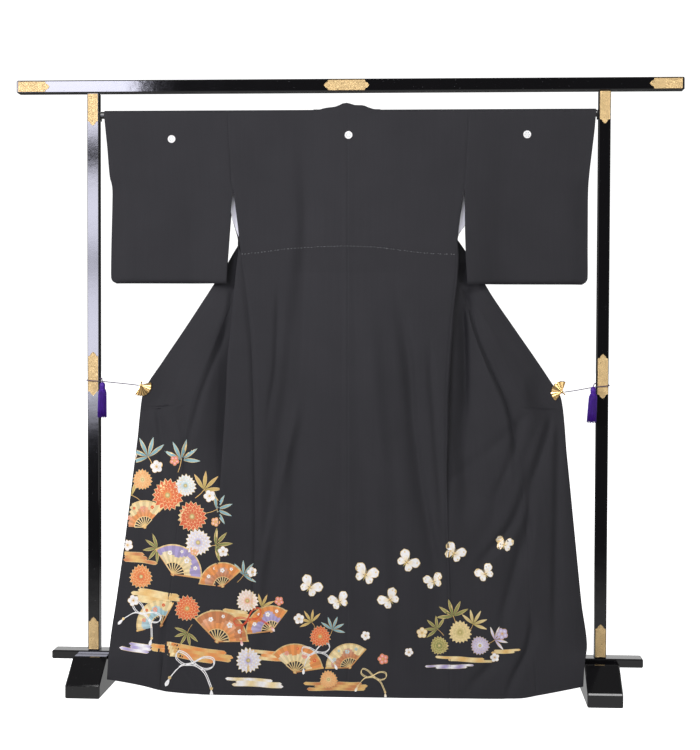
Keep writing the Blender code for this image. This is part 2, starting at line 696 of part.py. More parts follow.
def stand():
    beam_centre = (0, 0, BEAM_BOTTOM + BEAM_HEIGHT / 2)
    box("beam", (BEAM_LENGTH, BEAM_DEPTH, BEAM_HEIGHT), beam_centre, lacquer(), 0.003)
    rail_top = RAIL_BOTTOM + RAIL_HEIGHT
    rail_centre = (0, 0, RAIL_BOTTOM + RAIL_HEIGHT / 2)
    box("rail", (RAIL_LENGTH, RAIL_DEPTH, RAIL_HEIGHT), rail_centre, lacquer(), 0.003)
    post_low = rail_top + GAP
    post_high = BEAM_BOTTOM - GAP
    half_rail = RAIL_DEPTH / 2 + GAP
    notch = RAIL_BOTTOM - GAP
    profile = [
        (-FOOT_HALF_LENGTH, 0.0),
        (FOOT_HALF_LENGTH, 0.0),
        (FOOT_HALF_LENGTH, FOOT_TOE_HEIGHT),
        (FOOT_FLAT_HALF, FOOT_HEIGHT),
        (half_rail, FOOT_HEIGHT),
        (half_rail, notch),
        (-half_rail, notch),
        (-half_rail, FOOT_HEIGHT),
        (-FOOT_FLAT_HALF, FOOT_HEIGHT),
        (-FOOT_HALF_LENGTH, FOOT_TOE_HEIGHT),
    ]
    for side, word in ((-1, "left"), (1, "right")):
        x = side * POST_CENTRE
        centre = (x, 0, (post_low + post_high) / 2)
        box(f"post_{word}", (POST_SIDE, POST_SIDE, post_high - post_low), centre, lacquer(), 0.0015)
        prism(f"foot_{word}", profile, (x - FOOT_WIDTH / 2, x + FOOT_WIDTH / 2), lacquer(), 0.003)
        inner = side * (POST_CENTRE - POST_SIDE / 2 - GAP)
        size = (SOCKET_LENGTH, 0.026, 0.026)
        centre = (inner - side * SOCKET_LENGTH / 2, 0, ROD_HEIGHT - 0.004)
        box(f"socket_{word}", size, centre, lacquer(), 0.003)
    half = POST_CENTRE - POST_SIDE / 2 - SOCKET_LENGTH - 3 * GAP
    bm = bmesh.new()
    bmesh.ops.create_cone(
        bm, cap_ends=True, segments=16, radius1=ROD_RADIUS, radius2=ROD_RADIUS, depth=2 * half
    )
    bmesh.ops.rotate(bm, matrix=rotation("Y", 90), verts=bm.verts)
    bmesh.ops.translate(bm, vec=(0, 0, ROD_HEIGHT), verts=bm.verts)
    object_of("rod", bm, lacquer())


def rotation(axis, degrees):
    c = math.cos(math.radians(degrees))
    s = math.sin(math.radians(degrees))
    rows = {
        "X": ((1, 0, 0), (0, c, -s), (0, s, c)),
        "Y": ((c, 0, s), (0, 1, 0), (-s, 0, c)),
        "Z": ((c, -s, 0), (s, c, 0), (0, 0, 1)),
    }
    return Matrix(rows[axis])


PLATE_THICK = 0.0012
PLATE_RIM = 0.0024


def plate_outline(length, half, point_low, point_high):
    """Outline along U and V: a strip whose pointed ends are stepped in by shoulders."""
    high = length / 2
    neck = 0.0125
    ends = []
    for pointed, sign in ((point_high, 1), (point_low, -1)):
        if pointed:
            ends.append(
                [
                    (sign * (high - neck), half),
                    (sign * (high - neck + 0.0020), half * 0.62),
                    (sign * (high - neck * 0.42), half * 0.46),
                    (sign * high, 0.0),
                    (sign * (high - neck * 0.42), -half * 0.46),
                    (sign * (high - neck + 0.0020), -half * 0.62),
                    (sign * (high - neck), -half),
                ]
            )
        else:
            ends.append([(sign * high, half), (sign * high, -half)])
    return ends[0] + list(reversed(ends[1]))


def plate(name, centre, length, half, along, facing, point_low, point_high):
    bm = bmesh.new()
    ring = []
    for u, v in plate_outline(length, half, point_low, point_high):
        x = centre[0] + (u if along == "X" else v)
        z = centre[1] + (v if along == "X" else u)
        ring.append(bm.verts.new((x, centre[2], z)))
    face = bm.faces.new(ring)
    out = -facing * PLATE_THICK
    pushed = bmesh.ops.extrude_face_region(bm, geom=[face])
    top = [item for item in pushed["geom"] if isinstance(item, bmesh.types.BMFace)][0]
    bmesh.ops.translate(bm, vec=(0, -out, 0), verts=list(top.verts))
    bmesh.ops.inset_region(bm, faces=[top], thickness=0.0016, use_even_offset=True)
    bmesh.ops.translate(bm, vec=(0, out * 0.45, 0), verts=list(top.verts))
    return object_of(name, bm, gold(), smooth=False)


def plates():
    beam_z = BEAM_BOTTOM + BEAM_HEIGHT / 2
    for facing, word in ((-1, "front"), (1, "rear")):
        beam_y = facing * (BEAM_DEPTH / 2 + GAP)
        post_y = facing * (POST_SIDE / 2 + GAP)
        half = 0.0140
        plate(f"plate_beam_left_{word}", (-0.868, beam_z, beam_y), 0.088, half, "X", facing, False, True)
        plate(f"plate_beam_right_{word}", (0.867, beam_z, beam_y), 0.088, half, "X", facing, True, False)
        plate(f"plate_beam_middle_{word}", (0.0, beam_z, beam_y), 0.125, half, "X", facing, True, True)
        for side, tag in ((-1, "left"), (1, "right")):
            x = side * POST_CENTRE
            half = 0.0138
            plate(f"plate_post_top_{tag}_{word}", (x, 1.6090, post_y), 0.088, half, "Z", facing, True, False)
            plate(f"plate_post_mid_{tag}_{word}", (x, 0.8780, post_y), 0.122, half, "Z", facing, True, True)
            plate(f"plate_post_low_{tag}_{word}", (x, 0.1525, post_y), 0.090, half, "Z", facing, False, True)


def cutter(made):
    made.hide_render = True
    made.display_type = "WIRE"
    return made


def joined(target, others):
    for other in others:
        fuse = target.modifiers.new("fuse", "BOOLEAN")
        fuse.operation = "UNION"
        fuse.solver = "EXACT"
        fuse.object = cutter(other)
    return target


def round_bar(name, start, end, radius, segments, paint):
    """A cylinder between two places."""
    axis = Vector(end) - Vector(start)
    bm = bmesh.new()
    bmesh.ops.create_cone(
        bm, cap_ends=True, segments=segments, radius1=radius, radius2=radius, depth=axis.length
    )
    turn = axis.to_track_quat("Z", "Y").to_matrix()
    bmesh.ops.rotate(bm, matrix=turn, verts=bm.verts)
    bmesh.ops.translate(bm, vec=(Vector(start) + Vector(end)) / 2, verts=bm.verts)
    return object_of(name, bm, paint)


def jaw(name, side, y_mid, pleat):
    """A fan-shaped leaf; with a pleat its outer edge runs in and out like a folded paper fan."""
    px, pz = CLIP_PIVOT[side]
    start, stop = CLIP_SWEEP[side]
    bm = bmesh.new()
    faces = []
    for offset in (-JAW_THICK / 2, JAW_THICK / 2):
        leaf = []
        for k in range(JAW_BLADES + 1):
            a = math.radians(start + (stop - start) * k / JAW_BLADES)
            ridge = pleat if k % 2 else -pleat
            leaf.append(
                (
                    bm.verts.new((px + JAW_ROOT * math.cos(a), y_mid + offset, pz + JAW_ROOT * math.sin(a))),
                    bm.verts.new(
                        (px + JAW_REACH * math.cos(a), y_mid + offset + ridge, pz + JAW_REACH * math.sin(a))
                    ),
                )
            )
        faces.append(leaf)
    low, high = faces
    for k in range(JAW_BLADES):
        bm.faces.new((low[k][0], low[k][1], low[k + 1][1], low[k + 1][0]))
        bm.faces.new((high[k][0], high[k + 1][0], high[k + 1][1], high[k][1]))
        bm.faces.new((low[k][1], high[k][1], high[k + 1][1], low[k + 1][1]))
        bm.faces.new((low[k][0], low[k + 1][0], high[k + 1][0], high[k][0]))
    bm.faces.new((low[0][0], high[0][0], high[0][1], low[0][1]))
    bm.faces.new((low[-1][0], low[-1][1], high[-1][1], high[-1][0]))
    bmesh.ops.triangulate(bm, faces=bm.faces)
    return object_of(name, bm, gold(), smooth=False)


def clip(side, name):
    """Two fan leaves with the cloth between them, a pin past the cloth's edge and a thumb lever."""
    px, pz = CLIP_PIVOT[side]
    front = jaw(f"{name}_front", side, -JAW_Y, JAW_PLEAT)
    rear = jaw(f"{name}_rear", side, JAW_Y, 0.0)
    hub = round_bar(name, (px, -0.0078, pz), (px, 0.0066, pz), PIN_RADIUS, 12, gold())
    lever_x, lever_z = CLIP_LEVER[side]
    tip = (px + lever_x, -JAW_Y, pz + lever_z)
    lever = round_bar(f"{name}_lever", (px, -JAW_Y, pz), tip, 0.0017, 8, gold())
    return joined(hub, [front, rear, lever])


def tube(name, points, radius, paint):
    curve = bpy.data.curves.new(name, "CURVE")
    curve.dimensions = "3D"
    curve.bevel_depth = radius
    curve.bevel_resolution = 2
    curve.use_fill_caps = True
    spline = curve.splines.new("POLY")
    spline.points.add(len(points) - 1)
    for place, point in zip(spline.points, points):
        place.co = (*point, 1.0)
    made = bpy.data.objects.new(name, curve)
    bpy.context.scene.collection.objects.link(made)
    curve.materials.append(paint)
    return made


def eased_path(points, count):
    """Points of a Catmull-Rom curve through the given ones."""
    places = [Vector(p) for p in points]
    chain = [places[0] * 2 - places[1]] + places + [places[-1] * 2 - places[-2]]
    made = []
    for i in range(1, len(chain) - 2):
        for k in range(count):
            t = k / count
            a, b, c, d = chain[i - 1 : i + 3]
            bend = (a * 2 - b * 5 + c * 4 - d) * t**2 + (b * 3 - a - c * 3 + d) * t**3
            made.append((b * 2 + (c - a) * t + bend) / 2)
    made.append(chain[-2])
    return made


def cord(side, name):
    """From the clip's lever root to the post, once round it, over itself and down to the tassel."""
    px, pz = CLIP_PIVOT[side]
    ring_x = px + side * (PIN_RADIUS + CORD_RADIUS + 0.0004)
    post_z = {-1: 0.8595, 1: 0.8530}[side]
    near_z = {-1: 0.8570, 1: 0.8485}[side]
    around = POST_SIDE / 2 + GAP + CORD_RADIUS + 0.0004
    face = POST_SIDE / 2 + GAP + PLATE_THICK + CORD_RADIUS + 0.0004
    inner = side * (POST_CENTRE - around)
    outer = side * (POST_CENTRE + around)
    hang = TASSEL_X[side]
    points = [
        (ring_x, -0.0052, pz),
        (ring_x + side * 0.030, -0.0085, pz + (near_z - pz) * 0.33),
        (inner - side * 0.006, -face + 0.0006, near_z),
        (side * POST_CENTRE, -face, (near_z + post_z) / 2),
        (outer - side * 0.001, -face + 0.0014, post_z),
        (outer, 0.0, post_z + 0.0010),
        (outer - side * 0.001, face - 0.0014, post_z + 0.0020),
        (side * POST_CENTRE, face, post_z + 0.0030),
        (inner + side * 0.001, face - 0.0014, post_z + 0.0042),
        (inner, 0.0, post_z + 0.0052),
        (inner - side * 0.0006, -face + 0.0006, post_z + 0.0060),
        (hang + side * 0.0035, -face - 0.0060, post_z + 0.0045),
        (hang, TASSEL_Y, TASSEL_TOP[side] + 0.0045),
        (hang, TASSEL_Y, TASSEL_TOP[side] + 0.0006),
    ]
    return tube(name, eased_path(points, 4), CORD_RADIUS, purple_silk())


def tassel(side, name):
    """A turned head whose flat underside is divided into faces, each drawn out into a strand."""
    centre = Vector((TASSEL_X[side], TASSEL_Y, TASSEL_TOP[side]))
    bm = bmesh.new()
    top = bm.verts.new(centre)
    rings = []
    for radius, drop in TASSEL_PROFILE:
        ring = []
        for k in range(TASSEL_SIDES):
            a = math.tau * k / TASSEL_SIDES
            ring.append(bm.verts.new(centre + Vector((radius * math.cos(a), radius * math.sin(a), -drop))))
        rings.append(ring)
    for k in range(TASSEL_SIDES):
        bm.faces.new((top, rings[0][k], rings[0][(k + 1) % TASSEL_SIDES]))
    under = []
    foot = TASSEL_PROFILE[-1][1]
    for index, (high, low) in enumerate(zip(rings[:-1], rings[1:])):
        for k in range(TASSEL_SIDES):
            n = (k + 1) % TASSEL_SIDES
            face = bm.faces.new((high[k], low[k], low[n], high[n]))
            if TASSEL_PROFILE[index][1] == foot:
                under.append(face)
    bm.faces.new(list(reversed(rings[-1])))
    bmesh.ops.recalc_face_normals(bm, faces=bm.faces)
    bmesh.ops.inset_individual(bm, faces=under, thickness=0.00035, use_even_offset=True)
    for index, face in enumerate(under):
        middle_at = face.calc_center_median()
        away = Vector((middle_at.x - centre.x, middle_at.y - centre.y, 0.0))
        fall = STRAND_LENGTH - 0.003 * (index % 3)
        for part in (0.45, 1.0):
            pushed = bmesh.ops.extrude_discrete_faces(bm, faces=[face])
            face = pushed["faces"][0]
            step = 0.45 if part == 0.45 else 0.55
            bmesh.ops.translate(bm, vec=away * 0.16 + Vector((0, 0, -fall * step)), verts=face.verts)
    return object_of(name, bm, purple_silk())


clear_scene()
stand()
plates()
for side_sign, side_word in ((-1, "left"), (1, "right")):
    back(side_sign, f"back_{side_word}")
    shoulder(side_sign, f"shoulder_{side_word}")
    front(side_sign, f"front_{side_word}")
    okumi(side_sign, f"okumi_{side_word}")
    sleeve(side_sign, f"sleeve_{side_word}")
    lining(side_sign, f"lining_{side_word}")
    clip(side_sign, f"clip_{side_word}")
    cord(side_sign, f"cord_{side_word}")
    tassel(side_sign, f"tassel_{side_word}")
collar()
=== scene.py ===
"""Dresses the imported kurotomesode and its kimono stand: cloth, stitches, hem picture, fittings, floor, light, camera.

X runs to the right as the camera sees it, Y away from it, Z up. All sizes are in metres.
"""

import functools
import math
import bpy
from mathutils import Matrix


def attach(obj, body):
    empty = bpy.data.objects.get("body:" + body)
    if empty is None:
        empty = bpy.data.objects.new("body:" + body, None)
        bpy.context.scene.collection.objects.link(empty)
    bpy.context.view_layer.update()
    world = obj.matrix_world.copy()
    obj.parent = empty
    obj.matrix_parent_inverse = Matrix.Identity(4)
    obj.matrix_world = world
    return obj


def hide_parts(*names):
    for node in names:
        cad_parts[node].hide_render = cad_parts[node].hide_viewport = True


bl_info = {
    "name": "Kurotomesode on Kimono Stand",
    "version": (1, 0, 0),
    "blender": (4, 5, 0),
    "location": "View3D > Sidebar > Kurotomesode",
    "description": "Dresses a kurotomesode that hangs on a lacquered kimono stand",
    "category": "Object",
}

import bmesh
import bpy
import numpy as np
from bpy.props import FloatProperty, FloatVectorProperty, IntProperty, PointerProperty
from mathutils import Matrix, Vector
from mathutils.bvhtree import BVHTree

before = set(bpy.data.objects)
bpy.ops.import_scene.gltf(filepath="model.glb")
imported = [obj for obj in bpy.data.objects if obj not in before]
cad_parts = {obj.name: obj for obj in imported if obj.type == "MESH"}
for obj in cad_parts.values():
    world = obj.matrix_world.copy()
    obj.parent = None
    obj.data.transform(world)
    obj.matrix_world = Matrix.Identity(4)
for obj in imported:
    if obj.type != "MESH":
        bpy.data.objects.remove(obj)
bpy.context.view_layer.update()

SIDES = ((-1, "left"), (1, "right"))


def chart(*rows):
    """A table of numbers, one row to a tuple."""
    return np.array(rows)


# Sizes of the stand and of the cloth, as in the part's source
POST_CENTRE = 0.7035
POST_SIDE = 0.032
ROD_HEIGHT = 1.5955
GAP = 0.0003
PLATE_THICK = 0.0012
OVER_ROD = 0.0118
FRONT_WIDTH = 0.247
NECK_HALF = 0.0885
NECK_SEAM = NECK_HALF + 0.0008
ARM_SEAM_END = 1.383
SIDE_SEAM_TOP = 1.212
HEM_Y = -0.1020
LAP = 0.0006
TUCK = 0.0007
CUFF_BOTTOM = 1.400
SLEEVE_ROUND = 0.016
COLLAR_END = 0.79
OKUMI_TOP = {-1: 1.17, 1: 1.10}
CLIP_PIVOT = {-1: (-0.572, 0.846), 1: (0.5945, 0.834)}
CLIP_SWEEP = {-1: (18.0, -132.0), 1: (76.0, 232.0)}
CLIP_LEVER = {-1: (0.0025, 0.0105), 1: (0.008, -0.0065)}
CLIP_BLADES = 9
CLIP_REACH = 0.0300
CORD_RADIUS = 0.0013
PIN_RADIUS = 0.0042
TASSEL_X = {-1: -0.674, 1: 0.6765}
TASSEL_TOP = {-1: 0.852, 1: 0.847}
TASSEL_Y = -0.0315
TASSEL_LEAN = {-1: -0.001, 1: -0.0045}
THREAD_HALF = 0.00062
# Radius and drop of each ring of a turned form: the tassel's head and the fan clip's pin
TASSEL_HEAD = (
    (0.0016, -0.0034), (0.004, -0.0026), (0.0064, 0.0), (0.0076, 0.0038), (0.0078, 0.0085), (0.007, 0.0112),
    (0.0066, 0.0128), (0.0068, 0.015), (0.0084, 0.0172), (0.0096, 0.02), (0.005, 0.021),
)
FAN_PIN = (
    (0.0014, 0.0), (0.0031, 0.0004), (0.0041, 0.0014), (0.0041, 0.0028), (0.0033, 0.0034),
    (0.0033, 0.0128), (0.004, 0.0132), (0.004, 0.014), (0.0014, 0.0144),
)

# Top of the cloth's rows below the rod, and the back's upper edge under the collar
ROWS_TOP = 1.580
NAPE_Y = -0.0130
NAPE_Z = 1.5907
NECK_COLUMNS = 12
# How far the front panel hangs behind the back panel, and its folded layer behind itself
BEHIND_BACK = 0.012
FOLD_LAYER = 0.011
# Places worked out along a front panel before its columns are set, and how much its bends draw them in
FRONT_STEPS = 320
BEND_PULL = 0.018
# Height over which the hem's lift fades out
HEM_FADE = 0.30
# How far from a clip the cloth is held flat, and where the pull of the clip ends
CLIP_HOLD = (0.050, 0.110)
# The lining strip: its lower and upper end, one row, its width, its depth inside the front and its wall
LINING_LOW = 1.250
LINING_HIGH = 1.388
LINING_ROW = 0.0063
LINING_WIDTH = 0.028
LINING_DEPTH = 0.0023
LINING_WALL = 0.001
# A band below the basting line where the cloth's colour is made a little darker: lower and upper end, half width
DARK_BAND_LOW = 1.158
DARK_BAND_HIGH = 1.231
DARK_BAND_HALF = 0.150

# Height, side seam, outer turn, edge of the front panel, free edge: distances from the middle plane
LEFT_OUTLINE = chart(
    (0.0, 0.26, 0.385, 0.502, 0.6476),
    (0.13, 0.256, 0.375, 0.49, 0.6412),
    (0.26, 0.249, 0.362, 0.478, 0.628),
    (0.43, 0.245, 0.35, 0.462, 0.6075),
    (0.56, 0.246, 0.345, 0.45, 0.594),
    (0.7, 0.249, 0.337, 0.438, 0.5796),
    (0.815, 0.251, 0.331, 0.418, 0.569),
    (0.847, 0.252, 0.33, 0.407, 0.5552),
    (0.91, 0.255, 0.328, 0.382, 0.5125),
    (1.007, 0.261, 0.319, 0.342, 0.446),
    (1.1, 0.272, 0.311, 0.308, 0.385),
    (1.13, 0.276, 0.309, 0.298, 0.3655),
    (1.17, 0.282, 0.305, 0.281, 0.3385),
    (1.22, 0.289, 0.3, 0.245, 0.31),
    (1.3, 0.2985, 0.304, 0.2, 0.26),
    (1.38, 0.3105, 0.3105, 0.166, 0.2265),
    (1.4, 0.315, 0.315, 0.158, 0.218),
    (1.5, 0.322, 0.322, 0.122, 0.176),
    (1.55, 0.326, 0.326, 0.104, 0.156),
    (1.5955, 0.329, 0.329, 0.0893, 0.14),
)
RIGHT_OUTLINE = chart(
    (0.0, 0.292, 0.302, 0.525, 0.65),
    (0.06, 0.29, 0.3, 0.522, 0.6535),
    (0.12, 0.288, 0.298, 0.518, 0.6615),
    (0.26, 0.285, 0.295, 0.508, 0.6475),
    (0.48, 0.279, 0.289, 0.495, 0.626),
    (0.66, 0.275, 0.286, 0.471, 0.6085),
    (0.815, 0.275, 0.286, 0.437, 0.593),
    (0.85, 0.276, 0.288, 0.421, 0.572),
    (0.91, 0.279, 0.291, 0.395, 0.5315),
    (1.008, 0.286, 0.298, 0.358, 0.463),
    (1.1, 0.296, 0.306, 0.333, 0.3995),
    (1.13, 0.299, 0.309, 0.312, 0.3815),
    (1.22, 0.305, 0.312, 0.238, 0.328),
    (1.25, 0.306, 0.311, 0.222, 0.307),
    (1.3, 0.311, 0.311, 0.195, 0.268),
    (1.38, 0.3225, 0.3225, 0.163, 0.2336),
    (1.4, 0.325, 0.325, 0.155, 0.225),
    (1.5, 0.331, 0.331, 0.12, 0.182),
    (1.55, 0.334, 0.334, 0.103, 0.158),
    (1.5955, 0.335, 0.335, 0.0893, 0.14),
)
# Height, seam between collar and front: the distance from the middle plane
COLLAR_SEAM = {
    -1: chart((0.79, 0.513), (0.85, 0.484), (1.0, 0.388), (1.1, 0.325), (1.17, 0.281)),
    1: chart((0.79, 0.537), (0.85, 0.501), (1.0, 0.401), (1.06, 0.361), (1.1, 0.333)),
}
# Height, Y of the front panel's edge, Y of the free edge
FRONT_DEPTHS = chart(
    (0.0, -0.1, -0.1),
    (0.06, -0.0985, -0.096),
    (0.12, -0.095, -0.083),
    (0.26, -0.082, -0.064),
    (0.4, -0.07, -0.047),
    (0.6, -0.055, -0.025),
    (0.85, -0.036, 0.0),
    (1.0, -0.03, -0.003),
    (1.13, -0.015, -0.001),
    (1.22, -0.0085, 0.0035),
    (1.3, -0.003, 0.008),
    (1.4, 0.0055, 0.014),
    (1.5, 0.0145, 0.022),
    (1.55, 0.0165, 0.025),
    (1.5955, 0.0118, 0.025),
)
# Distance from the middle plane, height of the hem
HEM_LINE = {
    -1: chart((0.0, 0.0045), (0.364, 0.0045), (0.478, 0.0105), (0.551, 0.026), (0.62, 0.038), (0.65, 0.042)),
    1: chart((0.0, 0.0045), (0.292, 0.006), (0.427, 0.007), (0.48, 0.009), (0.534, 0.019), (0.66, 0.046)),
}
# Height, inner edge, outer edge of a sleeve: distances from the middle plane
LEFT_SLEEVE = chart(
    (1.13, 0.328, 0.641),
    (1.136, 0.328, 0.651),
    (1.145, 0.3275, 0.6545),
    (1.16, 0.327, 0.655),
    (1.22, 0.3235, 0.6542),
    (1.29, 0.3192, 0.6525),
    (1.35, 0.315, 0.651),
    (1.383, 0.312, 0.6505),
    (1.4, 0.314, 0.6515),
    (1.42, 0.3175, 0.6565),
    (1.46, 0.32, 0.6605),
    (1.5, 0.323, 0.6635),
    (1.55, 0.327, 0.6685),
    (1.5955, 0.33, 0.673),
)
RIGHT_SLEEVE = chart(
    (1.129, 0.333, 0.647),
    (1.135, 0.333, 0.656),
    (1.145, 0.3325, 0.6608),
    (1.16, 0.3315, 0.6612),
    (1.22, 0.328, 0.6605),
    (1.29, 0.3258, 0.6602),
    (1.35, 0.325, 0.66),
    (1.383, 0.324, 0.6603),
    (1.42, 0.3275, 0.6625),
    (1.5, 0.332, 0.671),
    (1.55, 0.335, 0.6765),
    (1.5955, 0.336, 0.68),
)
# Seam, ridge and free edge of the collar from the nape to where it lies straight, as X, Y, Z
NAPE_ROWS = [
    ((0.0, -0.0108, 1.593), (0.0, -0.0045, 1.6235), (0.0, 0.016, 1.607)),
    ((0.042, -0.0108, 1.5935), (0.041, -0.004, 1.6165), (0.043, 0.018, 1.605)),
    ((0.07, -0.0108, 1.595), (0.07, -0.0015, 1.611), (0.078, 0.02, 1.601)),
    ((0.085, -0.01, 1.598), (0.087, 0.0015, 1.608), (0.1, 0.0215, 1.596)),
    ((0.0865, -0.005, 1.6045), (0.094, 0.007, 1.6075), (0.116, 0.023, 1.591)),
    ((0.0868, 0.006, 1.6055), (0.099, 0.015, 1.605), (0.129, 0.025, 1.587)),
    ((0.087, 0.0145, 1.601), (0.107, 0.0205, 1.601), (0.138, 0.026, 1.584)),
    ((0.089, 0.0165, 1.583), (0.114, 0.0225, 1.589), (0.146, 0.0262, 1.577)),
]

# Height, how far the front panel's edge stands out past the back's in the open side slit,
# width of the black edge outside the lining
SIDE_SLIT = {
    -1: chart(
        (1.212, 0.0, 0.018),
        (1.234, 0.0072, 0.014),
        (1.25, 0.006, 0.008),
        (1.2567, 0.0066, 0.005),
        (1.2655, 0.0082, 0.003),
        (1.2966, 0.0134, 0.001),
        (1.312, 0.0156, 0.0005),
        (1.345, 0.017, 0.0005),
        (1.372, 0.008, 0.0005),
        (1.39, 0.0, 0.0005),
    ),
    1: chart(
        (1.212, 0.0, 0.006),
        (1.25, 0.0002, 0.003),
        (1.262, 0.0018, 0.0014),
        (1.295, 0.0175, 0.001),
        (1.34, 0.0175, 0.0005),
        (1.372, 0.008, 0.0005),
        (1.39, 0.0, 0.0005),
    ),
}
# X, rise of the collar's top above the cloth on the rod
NAPE_CREST = chart(
    (-0.088, -0.001), (-0.076, 0.0), (-0.058, 0.004), (-0.031, 0.007), (-0.014, 0.014), (-0.005, 0.018),
    (0.005, 0.0165), (0.024, 0.011), (0.0435, 0.0108), (0.06, 0.0047), (0.076, 0.0004), (0.088, -0.001),
)

# Foot X, foot Z, head X, head Z, depth, half width at the foot, half width at the head.
# A depth above zero is a trough as the camera sees it, one below zero is a ridge.
BACK_FOLDS = [
    (-0.225, 0.42, -0.11, 1.37, 0.0055, 0.03, 0.016),
    (-0.235, 0.02, -0.152, 1.06, 0.005, 0.035, 0.018),
    (0.27, 0.1, 0.125, 1.19, 0.006, 0.032, 0.016),
    (0.112, 0.43, 0.06, 0.8, 0.003, 0.022, 0.012),
    (0.175, 0.05, 0.15, 0.75, -0.003, 0.03, 0.015),
    (-0.195, 0.3, -0.16, 0.8, -0.003, 0.025, 0.015),
]
CLIP_FOLDS = [
    (0.33, 0.36, 0.56, 0.81, 0.004, 0.034, 0.01),
    (0.44, 0.3, 0.574, 0.79, 0.004, 0.03, 0.009),
    (0.3, 0.6, 0.52, 0.8, 0.004, 0.03, 0.012),
    (-0.505, 0.5, -0.552, 0.78, 0.004, 0.02, 0.009),
    (-0.43, 0.45, -0.53, 0.79, 0.004, 0.026, 0.01),
    (-0.56, 0.1, -0.575, 0.76, 0.004, 0.028, 0.01),
]
# All depths of the two lists below are taken this many times
DRAPE_GAIN = 1.65
# Heights over which a fold's way is evened out
PATH_EASE = (-0.04, -0.02, 0, 0.02, 0.04)
# Depth, half width to its left and right, then X and Z of each single fold from its foot up:
# on the back panel and its rolled edges
BACK_DRAPE = [
    (0.0056, 0.02, 0.03, (0.31, 0.5), (0.305, 0.68), (0.305, 0.81), (0.312, 0.95), (0.322, 1.08)),
    (0.005, 0.02, 0.01, (0.267, 0.27), (0.255, 0.378), (0.216, 0.541), (0.187, 0.744), (0.18, 0.914), (0.165, 1.016)),
    (0.004, 0.012, 0.01, (0.268, 0.487), (0.258, 0.609), (0.247, 0.745), (0.233, 0.935)),
    (0.0035, 0.008, 0.014, (-0.21, 0.775), (-0.198, 0.837), (-0.189, 0.912), (-0.185, 1.084)),
    (-0.0045, 0.01, 0.015, (-0.228, 0.311), (-0.218, 0.379), (-0.18, 0.571), (-0.141, 0.728), (-0.129, 0.796)),
    (
        0.003, 0.006, 0.009, (-0.244, 0.338), (-0.241, 0.468), (-0.247, 0.741),
        (-0.257, 0.946), (-0.272, 1.084), (-0.282, 1.139),
    ),
    (0.005, 0.022, 0.04, (-0.14, 0.428), (-0.135, 0.673), (-0.118, 0.947), (-0.106, 1.221), (-0.116, 1.455)),
    (-0.0015, 0.008, 0.014, (0.015, 0.226), (0.008, 0.811), (0.0, 1.441)),
    (-0.005, 0.03, 0.026, (0.123, 0.16), (0.11, 0.404), (0.095, 0.675), (0.068, 1.016)),
]
# The same on the fronts
FRONT_DRAPE = [
    (0.009, 0.016, 0.009, (0.331, 0.79), (0.331, 0.86), (0.329, 0.95), (0.322, 1.08)),
    (0.011, 0.024, 0.034, (0.332, 0.52), (0.338, 0.576), (0.319, 0.711), (0.336, 0.84), (0.332, 0.949), (0.324, 1.051)),
    (
        0.0088, 0.0045, 0.03, (0.464, 0.678), (0.45, 0.78), (0.427, 0.837), (0.39, 0.912),
        (0.359, 0.993), (0.325, 1.106), (0.319, 1.14), (0.314, 1.2),
    ),
    (0.007, 0.014, 0.016, (0.358, 0.366), (0.401, 0.404), (0.444, 0.452), (0.475, 0.509), (0.492, 0.57), (0.5, 0.611)),
    (0.004, 0.012, 0.014, (0.403, 0.546), (0.431, 0.59), (0.454, 0.644), (0.466, 0.702), (0.476, 0.746)),
    (
        0.0065, 0.012, 0.012, (0.496, 0.395), (0.502, 0.489), (0.508, 0.571),
        (0.524, 0.638), (0.553, 0.72), (0.577, 0.801),
    ),
    (
        0.005, 0.01, 0.015, (0.573, 0.194), (0.575, 0.342), (0.578, 0.477),
        (0.581, 0.612), (0.582, 0.706), (0.583, 0.788),
    ),
    (0.008, 0.032, 0.03, (0.676, 0.048), (0.665, 0.343), (0.653, 0.579), (0.626, 0.707)),
    (0.005, 0.014, 0.016, (0.429, 0.212), (0.443, 0.266), (0.463, 0.334), (0.482, 0.408), (0.487, 0.455)),
    (0.0055, 0.009, 0.016, (0.444, 0.03), (0.469, 0.071), (0.494, 0.122), (0.512, 0.166), (0.509, 0.22)),
    (0.0045, 0.014, 0.022, (0.334, 0.039), (0.385, 0.068), (0.412, 0.094), (0.426, 0.114)),
    (0.011, 0.044, 0.03, (-0.324, 0.604), (-0.325, 0.699), (-0.325, 0.809), (-0.326, 0.932), (-0.322, 1.015)),
    (0.0035, 0.006, 0.011, (-0.442, 0.637), (-0.43, 0.711), (-0.397, 0.835), (-0.35, 0.965), (-0.337, 0.994)),
    (0.005, 0.012, 0.014, (-0.356, 0.939), (-0.339, 0.984), (-0.322, 1.032), (-0.315, 1.09), (-0.311, 1.138)),
    (0.005, 0.008, 0.011, (-0.503, 0.602), (-0.509, 0.677), (-0.518, 0.739), (-0.528, 0.794), (-0.534, 0.835)),
    (0.004, 0.011, 0.014, (-0.431, 0.589), (-0.435, 0.671), (-0.446, 0.74), (-0.467, 0.794)),
    (0.005, 0.009, 0.016, (-0.397, 0.026), (-0.44, 0.053), (-0.466, 0.093), (-0.482, 0.147), (-0.491, 0.205)),
    (0.003, 0.006, 0.007, (-0.495, 0.021), (-0.494, 0.11), (-0.496, 0.191)),
]
SLEEVE_CREASES = [
    (-0.42, 1.16, -0.455, 1.42, 0.0006, 0.016, 0.01),
    (-0.56, 1.15, -0.53, 1.4, 0.0005, 0.02, 0.012),
    (0.4, 1.16, 0.44, 1.43, 0.0006, 0.016, 0.01),
    (0.545, 1.15, 0.52, 1.38, 0.0005, 0.02, 0.012),
]


